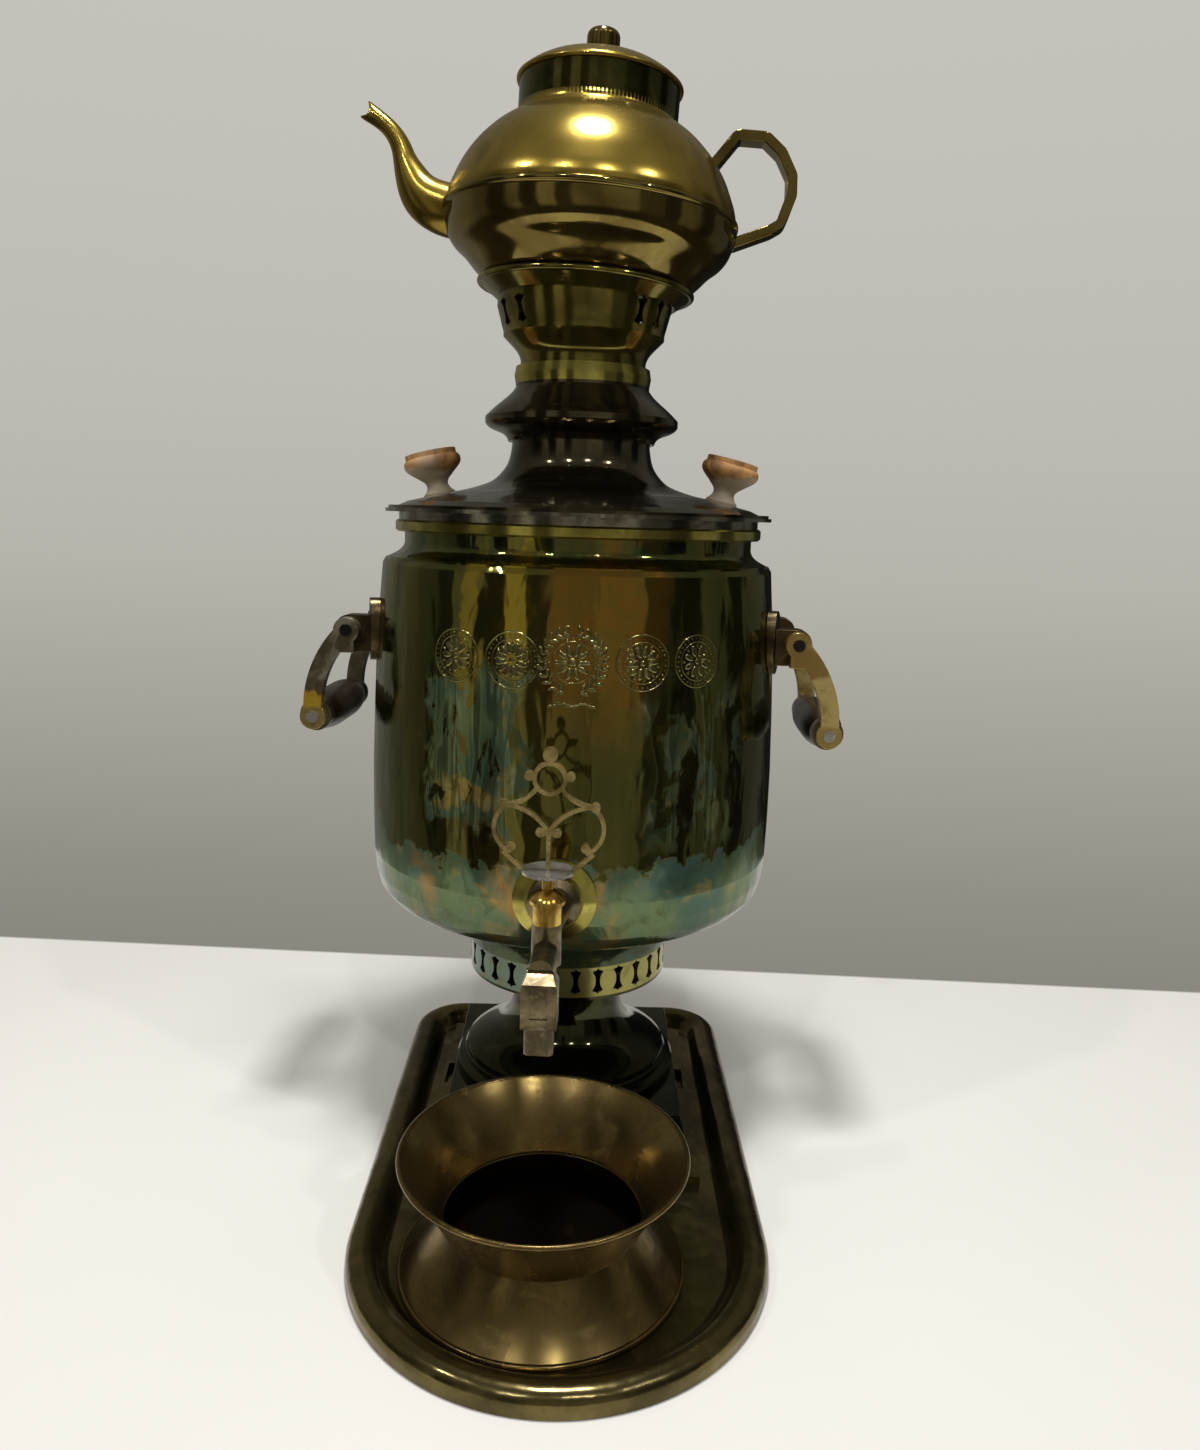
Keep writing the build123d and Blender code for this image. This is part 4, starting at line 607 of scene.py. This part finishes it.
# %% Body surface
swell = stained.bump(stained.noise(22, 2, 0.5, 0, stained.stretched(1, 1, 0.7)), 0.0022)
waver = stained.noise(70, 2, 0.5, 0.4, stained.stretched(1, 1, 0.4))
film = (smears + foot_smear).maths("MINIMUM", smears + foot_smear, 1)
finishes["body_brass"] = stained.finish(
    base_color=colour,
    metallic=(1 - film).between(0.68, 0.96),
    roughness=(film * 0.7 + cloud * 0.3).between(0.06, 0.18),
    normal=stained.bump(waver, 0.0007, swell),
)
print("body nodes", len(stained.tree.nodes))

# %% [markdown]
# ## Wood
# The lid's knobs are bare turned wood, sun-bleached and grey at the stem. The grips are the same
# wood, stained nearly black and polished by hands. Grain is noise squeezed across and stretched
# along the piece.


# %% Wood recipe
def wood(name, light, dark, grey, roughness, along, foot=-1.0, head=-0.9):
    """Turned wood. The grain runs along an axis, given as how little the pattern changes there.
    Below the foot's height it is grey, and above the head's it has its full colour."""
    made = Finish(name)
    grain = made.noise(160, 6, 0.62, 1.2, made.stretched(*along))
    rings = made.noise(60, 3, 0.5, 2.5, made.stretched(*along)).step(0.35, 0.65)
    colour = made.mix(rings, light, dark)
    colour = made.mix(grain.step(0.5, 0.7) * 0.8, colour, dark)
    colour = made.mix(made.noise(35, 3).step(0.5, 0.7) * 0.5, colour, grey)
    colour = made.mix((1 - made.z.step(foot, head)) * 0.85, colour, grey)
    return made.finish(
        base_color=colour, roughness=roughness, normal=made.bump(grain, 0.0003)
    )


finishes["grip_wood"] = wood(
    "grip_wood", (42, 31, 21), (20, 15, 11), (56, 44, 33), 0.33, (1, 0.15, 1)
)
knob_foot, knob_head = (corner.z for corner in map(Vector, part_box("lid_knob_left")))
knob_step = knob_foot + (knob_head - knob_foot) * 0.48
finishes["knob_wood"] = wood(
    "knob_wood", (190, 142, 82), (132, 92, 50), (178, 168, 146), 0.62, (1, 1, 0.3),
    knob_step, knob_step + 0.003,
)
print("finishes", sorted(finishes))

# %% [markdown]
# ## Dressing the solids
# A solid of the model takes the finish of its slot, or one of its own. Smooth shading hides its
# triangles.

# %% Dress the solids
OWN_FINISH = {
    "bowl_floor": "bowl_floor_painted_shade", "tap_plug": "plug_gold", "teapot_lid": "teapot_gold",
    "teapot_neck": "pot_neck_green", "air_ring": "pierced_ring", "handle_rod_left": "steel",
    "handle_rod_right": "steel", "hinge_pins_left": "iron", "hinge_pins_right": "iron",
    "lid_rim": "lid_rim_painted_sheen", "crown_ring": "ring_brass",
}
slots = {row["node"]: row["material_slot"] for row in frame["record"]["subparts"]}
for node, slot in slots.items():
    mesh = nodes[node].data
    mesh.materials.clear()
    mesh.materials.append(finishes[OWN_FINISH.get(node, slot)])
    mesh.polygons.foreach_set("use_smooth", [True] * len(mesh.polygons))
    mesh.update()
print("dressed", len(slots), "solids")

# %% [markdown]
# ## Turned shells for the teapot
# The solid teapot is built of short cones, which shows in a polished surface. Here its shells are
# turned again from smooth outlines. A Bezier curve with automatic handles gives the outline, a
# spin turns it, and Solidify gives the sheet its thickness inwards. The pot leans a little, as it
# sits on the crown, so each shell is made upright and then moved by one matrix.

# %% A smooth outline
POT_CENTRE = Vector((0.00347, 0, 0.51993))
POT_LEAN = math.radians(2.7)
pot_place = Matrix.Translation(POT_CENTRE) @ Matrix.Rotation(POT_LEAN, 4, "Y")


def smooth_line(knots, steps=6):
    """Points along a smooth curve through the knots."""
    line = bpy.data.curves.new("line", "CURVE")
    line.dimensions = "3D"
    line.resolution_u = steps
    spline = line.splines.new("BEZIER")
    spline.bezier_points.add(len(knots) - 1)
    for point, knot in zip(spline.bezier_points, knots):
        point.co = (knot[0], 0, knot[1])
        point.handle_left_type = point.handle_right_type = "AUTO"
    holder = bpy.data.objects.new("line", line)
    mesh = bpy.data.meshes.new_from_object(holder)
    points = [(v.co.x, v.co.z) for v in mesh.vertices]
    bpy.data.objects.remove(holder)
    bpy.data.curves.remove(line)
    bpy.data.meshes.remove(mesh)
    return points


print("pot stands at", POT_CENTRE[:])

# %% [markdown]
# Every new piece is joined to the body that it moves with, and the solid that it takes the place of
# is hidden. A turned shell faces away from its axis, so that its wall can grow inwards.


# %% Pieces and shells
def add_piece(name, shape, finish, body, replaced=()):
    """Turns a bmesh into a piece that rides on a body."""
    mesh = bpy.data.meshes.new(name)
    shape.to_mesh(mesh)
    shape.free()
    mesh.materials.append(finish)
    mesh.polygons.foreach_set("use_smooth", [True] * len(mesh.polygons))
    piece = bpy.data.objects.new(name, mesh)
    scene.collection.objects.link(piece)
    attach(piece, body)
    if replaced:
        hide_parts(*replaced)
    print(name, len(mesh.polygons), "faces")
    return piece


def spun(outline, place):
    """A surface of revolution from an outline of radii and heights, facing away from its axis."""
    shape = bmesh.new()
    points = [shape.verts.new((radius, 0, height)) for radius, height in outline]
    edges = [shape.edges.new(pair) for pair in zip(points, points[1:])]
    bmesh.ops.spin(
        shape, geom=points + edges, axis=(0, 0, 1), angle=2 * math.pi, steps=128, use_merge=True
    )
    bmesh.ops.remove_doubles(shape, verts=shape.verts, dist=1e-6)
    bmesh.ops.recalc_face_normals(shape, faces=shape.faces)
    widest = max(shape.faces, key=lambda face: face.calc_center_median().xy.length)
    if widest.normal.dot(widest.calc_center_median()) < 0:
        bmesh.ops.reverse_faces(shape, faces=shape.faces)
    bmesh.ops.transform(shape, matrix=place, verts=shape.verts)
    return shape


def thicken(piece, wall):
    """Gives a sheet its thickness on the inside."""
    solidify = piece.modifiers.new("wall", "SOLIDIFY")
    solidify.thickness, solidify.offset = wall, -1
    solidify.use_even_offset = True


print("shell tools ready")

# %% [markdown]
# The pot is two shells that meet in a rolled seam at its widest place. The lower one is part of a
# ball where it sits in the crown, and turns up steeply above it. The upper one is a low dome that
# ends in an upright mouth for the neck.

# %% The pot's lower shell
SHEET = 0.0015
BALL = 0.085


def on_ball(radius):
    """A point of the pot's round bottom."""
    return (radius, -math.sqrt(BALL**2 - radius**2))


under = [(0, on_ball(0.051)[1]), on_ball(0.0495)]
belly = smooth_line(
    [on_ball(0.051), on_ball(0.058), on_ball(0.065), (0.0709, -0.0497), (0.0742, -0.0435),
     (0.075, -0.0362)]
)
seam = [(0.075, -0.0345), (0.0758, -0.0345), (0.0764, -0.0340), (0.0765, -0.0332),
        (0.0764, -0.0324), (0.0758, -0.0319), (0.075, -0.0319)]
lower = spun(under + belly + seam, pot_place)
pot_lower = add_piece(
    "pot_lower_shell", lower, finishes["teapot_brass"], "teapot", ["teapot_lower"]
)
thicken(pot_lower, SHEET)

# %% The pot's upper shell
shoulder = smooth_line(
    [(0.075, -0.0316), (0.0747, -0.0285), (0.0719, -0.0205), (0.0662, -0.0093), (0.0566, 0.0023),
     (0.0478, 0.0094), (0.0425, 0.0124)]
)
mouth = [(0.0414, 0.0134), (0.041, 0.0145), (0.041, 0.017)]
upper = spun(shoulder + mouth, pot_place)
pot_upper = add_piece(
    "pot_upper_shell", upper, finishes["teapot_gold"], "teapot", ["teapot_upper"]
)
thicken(pot_upper, SHEET)

# %% [markdown]
# ## The spout
# The spout is an S-shaped tube that is wide and oval at the belly and narrow at the tip. It is
# made of rings: a circle for each station, squeezed to the oval and set across the flow, and a
# bridge of faces between each ring and the next. The last ring is bent to a beak, with its top and
# bottom forward and its sides cut back. Subdivision smooths it.

# %% Spout
# Out from the belly, up, width, half breadth, in mm, and the direction of flow in degrees
POUR_STATIONS = (
    (-5, -33, 27.4, 12.5, 0), (6, -31.2, 27, 12.3, 14), (16.1, -25.5, 23.4, 10.5, 39),
    (20.8, -15.7, 16.9, 8, 59), (23.9, -8.8, 11.9, 6.3, 66), (25.8, -2.1, 10.4, 5.6, 68),
    (31.2, 5.4, 9, 5, 50), (39.2, 10.5, 8.6, 4.6, 34), (45.3, 13.6, 9.6, 4.5, 41),
)
BELLY = 75  # the pot's widest radius, in mm
# In metres: how far the beak's lips stand out, its sides go back, and its lower lip is shorter
BEAK_LIPS, BEAK_SIDES, BEAK_SLANT = 0.0042, 0.0034, 0.0012
shape = bmesh.new()
rings = []
for station in POUR_STATIONS:
    out, up, width, half_breadth, flow = station
    ahead = Vector((-math.cos(math.radians(flow)), 0, math.sin(math.radians(flow))))
    across = Vector((0, 1, 0))
    over = ahead.cross(across)
    place = Matrix.Translation((-(BELLY + out) / 1000, 0, up / 1000)) @ Matrix(
        (across * half_breadth / 1000, over * width / 2000, ahead)
    ).transposed().to_4x4()
    ring = bmesh.ops.create_circle(shape, segments=24, radius=1, matrix=place)["verts"]
    if station is POUR_STATIONS[-1]:
        for vert in ring:
            rise = (vert.co - place.translation).dot(over) / (width / 2000)
            vert.co += ahead * (BEAK_LIPS * rise**2 - BEAK_SIDES - BEAK_SLANT * rise)
    rings.append([edge for edge in shape.edges if all(v in ring for v in edge.verts)])
for near, far in zip(rings, rings[1:]):
    bmesh.ops.bridge_loops(shape, edges=near + far)
bmesh.ops.recalc_face_normals(shape, faces=shape.faces)
inside = Vector((-0.1, 0, -0.01))
if sum((face.calc_center_median() - inside).dot(face.normal) for face in shape.faces) < 0:
    bmesh.ops.reverse_faces(shape, faces=shape.faces)
bmesh.ops.transform(shape, matrix=pot_place, verts=shape.verts)
spout = add_piece(
    "pot_spout_smooth", shape, finishes["teapot_gold"], "teapot", ["teapot_spout"]
)
SPOUT_WALL = 0.0012
thicken(spout, SPOUT_WALL)
subdivision = spout.modifiers.new("smooth", "SUBSURF")
subdivision.levels = subdivision.render_levels = 2

# %% [markdown]
# ## Cast edges
# A cast or forged piece has no sharp edge, and a rounded edge is what catches the light. Where a
# solid already has the right form, a copy of it is welded, its flat faces are joined, its sharp
# edges are bevelled, and the copy stands for the solid.


# %% Rounding a copy
def rounded(node, width, finish=None, segments=2):
    """A copy of a solid with its sharp edges rounded by the width, in metres. It takes the
    finish that is named, or that of the solid's slot."""
    solid = nodes[node]
    shape = bmesh.new()
    shape.from_mesh(solid.data)
    bmesh.ops.remove_doubles(shape, verts=shape.verts, dist=5e-6)
    bmesh.ops.dissolve_limit(
        shape, angle_limit=math.radians(1.5), verts=shape.verts, edges=shape.edges,
        delimit={"NORMAL"},
    )
    edges = [
        edge for edge in shape.edges
        if len(edge.link_faces) == 2 and edge.calc_face_angle() > math.radians(SHARP_EDGE)
    ]
    bmesh.ops.bevel(
        shape, geom=edges, offset=width, offset_type="OFFSET", affect="EDGES", segments=segments,
        profile=0.5, material=-1, clamp_overlap=True,
    )
    body = body_of(solid)[0]
    piece = add_piece(node + "_rounded", shape, finishes[finish or slots[node]], body, [node])
    weighted = piece.modifiers.new("shade", "WEIGHTED_NORMAL")
    weighted.keep_sharp = False


SHARP_EDGE = 32
rounded("tap_key", 0.0006)
for corner in ("front_left", "back_left", "front_right", "back_right"):
    rounded("arm_" + corner, 0.0016, "arm_metal", segments=4)
for corner in ("front_left", "back_left", "front_right", "back_right"):
    rounded("bracket_" + corner, 0.0005, "bracket_brown")
for node in ("tap_body", "teapot_handle", "plinth"):
    rounded(node, 0.0008)

# %% [markdown]
# ## Medallions
# Five round stamps stand in a row across the body's front, the middle one larger. Here each is a
# generic ornament of rings, beads and petals. A stamp is made flat, as on paper, and then wrapped:
# every point keeps its height, its sideways distance becomes an arc, and a ray towards the axis
# finds the wall that it stands on.

# %% Wrapping a flat relief
STAMP_HEIGHT = 0.2706
body_tree = BVHTree.FromPolygons(
    [v.co.copy() for v in nodes["body"].data.vertices],
    [tuple(p.vertices) for p in nodes["body"].data.polygons],
)


def wall_radius(turn, height):
    """How far the body's wall is from its axis."""
    out = Vector((math.sin(turn), -math.cos(turn), 0))
    hit = body_tree.ray_cast(out * 0.2 + Vector((0, 0, height)), -out, 0.15)
    return hit[0].xy.length


def wrap(shape, turn, height):
    """Moves a flat relief, with x sideways, y up and z out, onto the wall."""
    middle = wall_radius(turn, height)
    for vert in shape.verts:
        x, y, z = vert.co
        angle = turn + x / middle
        radius = wall_radius(angle, height + y) + z
        vert.co = (radius * math.sin(angle), -radius * math.cos(angle), height + y)


print("wall is", round(wall_radius(0, STAMP_HEIGHT), 4), "m from the axis at the stamps")

# %% [markdown]
# Two things make every ornament: a ring of round wire, which is spun, and a flattened ball, which
# serves as a bead, a petal or a leaf.


# %% Rings and drops
def add_ring(shape, radius, wire):
    """A ring of round wire."""
    start = bmesh.ops.create_circle(
        shape, segments=6, radius=wire,
        matrix=Matrix.Translation((radius, 0, 0)) @ Matrix.Rotation(math.pi / 2, 4, "X"),
    )["verts"]
    loop = [edge for edge in shape.edges if all(v in start for v in edge.verts)]
    bmesh.ops.spin(
        shape, geom=start + loop, axis=(0, 0, 1), angle=2 * math.pi, steps=56, use_merge=True
    )


def add_drop(shape, place, size):
    """A rounded drop, as long, wide and high as the size."""
    scale = Matrix.Diagonal((size[0] / 2, size[1] / 2, size[2], 1))
    bmesh.ops.create_icosphere(shape, subdivisions=2, radius=1, matrix=place @ scale)


def around(count, radius, phase=0.0):
    """Places evenly round the middle, each with its x axis outwards."""
    for i in range(count):
        turn = phase + 2 * math.pi * i / count
        yield Matrix.Rotation(turn, 4, "Z") @ Matrix.Translation((radius, 0, 0))


RELIEF = 0.00042
print("relief stands out by", RELIEF, "m")

# %% [markdown]
# The four outer stamps are round coins with a rosette each, which differ in their petals or in how
# they are turned. The middle one is a rosette between two leafy branches over a plain scroll.


# %% Ornaments
def coin(radius, petals, phase):
    """A round stamp: two rings, a row of beads and a rosette."""
    shape = bmesh.new()
    add_ring(shape, radius - 0.0004, 0.0004)
    add_ring(shape, radius * 0.72, 0.0003)
    for place in around(30, radius * 0.855, phase):
        add_drop(shape, place, (0.0013, 0.0007, RELIEF))
    for place in around(petals, radius * 0.4, phase):
        add_drop(shape, place, (radius * 0.46, radius * 0.24, RELIEF * 1.3))
    for place in around(petals, radius * 0.58, phase + math.pi / petals):
        add_drop(shape, place, (radius * 0.16, radius * 0.1, RELIEF))
    add_drop(shape, Matrix.Identity(4), (radius * 0.24, radius * 0.24, RELIEF * 1.5))
    return shape


def wreath(radius):
    """The middle stamp: two leafy branches round a rosette, and a plain scroll below."""
    shape = bmesh.new()
    for side in (1, -1):
        for i in range(11):
            turn = math.radians(-68 + i * 14.5)
            for tilt, reach in ((0.75, 1.0), (-0.75, 0.84)):
                place = (
                    Matrix.Diagonal((side, 1, 1, 1))
                    @ Matrix.Rotation(turn, 4, "Z")
                    @ Matrix.Translation((radius * reach, 0, 0))
                    @ Matrix.Rotation(math.pi / 2 - tilt, 4, "Z")
                )
                add_drop(shape, place, (radius * 0.3, radius * 0.12, RELIEF * 1.3))
    add_ring(shape, radius * 0.62, 0.0003)
    for place in around(24, radius * 0.7):
        add_drop(shape, place, (0.0008, 0.0008, RELIEF))
    for place in around(10, radius * 0.36):
        add_drop(shape, place, (radius * 0.42, radius * 0.17, RELIEF * 1.4))
    add_drop(shape, Matrix.Identity(4), (radius * 0.26, radius * 0.26, RELIEF * 1.6))
    for step in range(-5, 6):
        sway = 0.05 * math.cos(step * 1.3)
        place = Matrix.Translation((step * radius * 0.13, -radius * (1.28 + sway), 0))
        add_drop(shape, place, (radius * 0.16, radius * 0.09, RELIEF))
    return shape


print("ornaments ready")

# %% [markdown]
# The stamps stand at one height, struck by hand and so not quite evenly spaced. Each is given with
# its turn round the axis.

# %% Stamps on the body
stamps = [
    ("stamp_far_left", -0.485, coin(0.0128, 8, 0.0)),
    ("stamp_left", -0.212, coin(0.0134, 12, 0.2)),
    ("stamp_middle", 0.052, wreath(0.0154)),
    ("stamp_right", 0.356, coin(0.0134, 10, 0.1)),
    ("stamp_far_right", 0.625, coin(0.0128, 8, 0.4)),
]
for name, turn, relief in stamps:
    wrap(relief, turn, STAMP_HEIGHT)
    bmesh.ops.recalc_face_normals(relief, faces=relief.faces)
    add_piece(name, relief, finishes["stamped_brass_highlight"], "samovar")
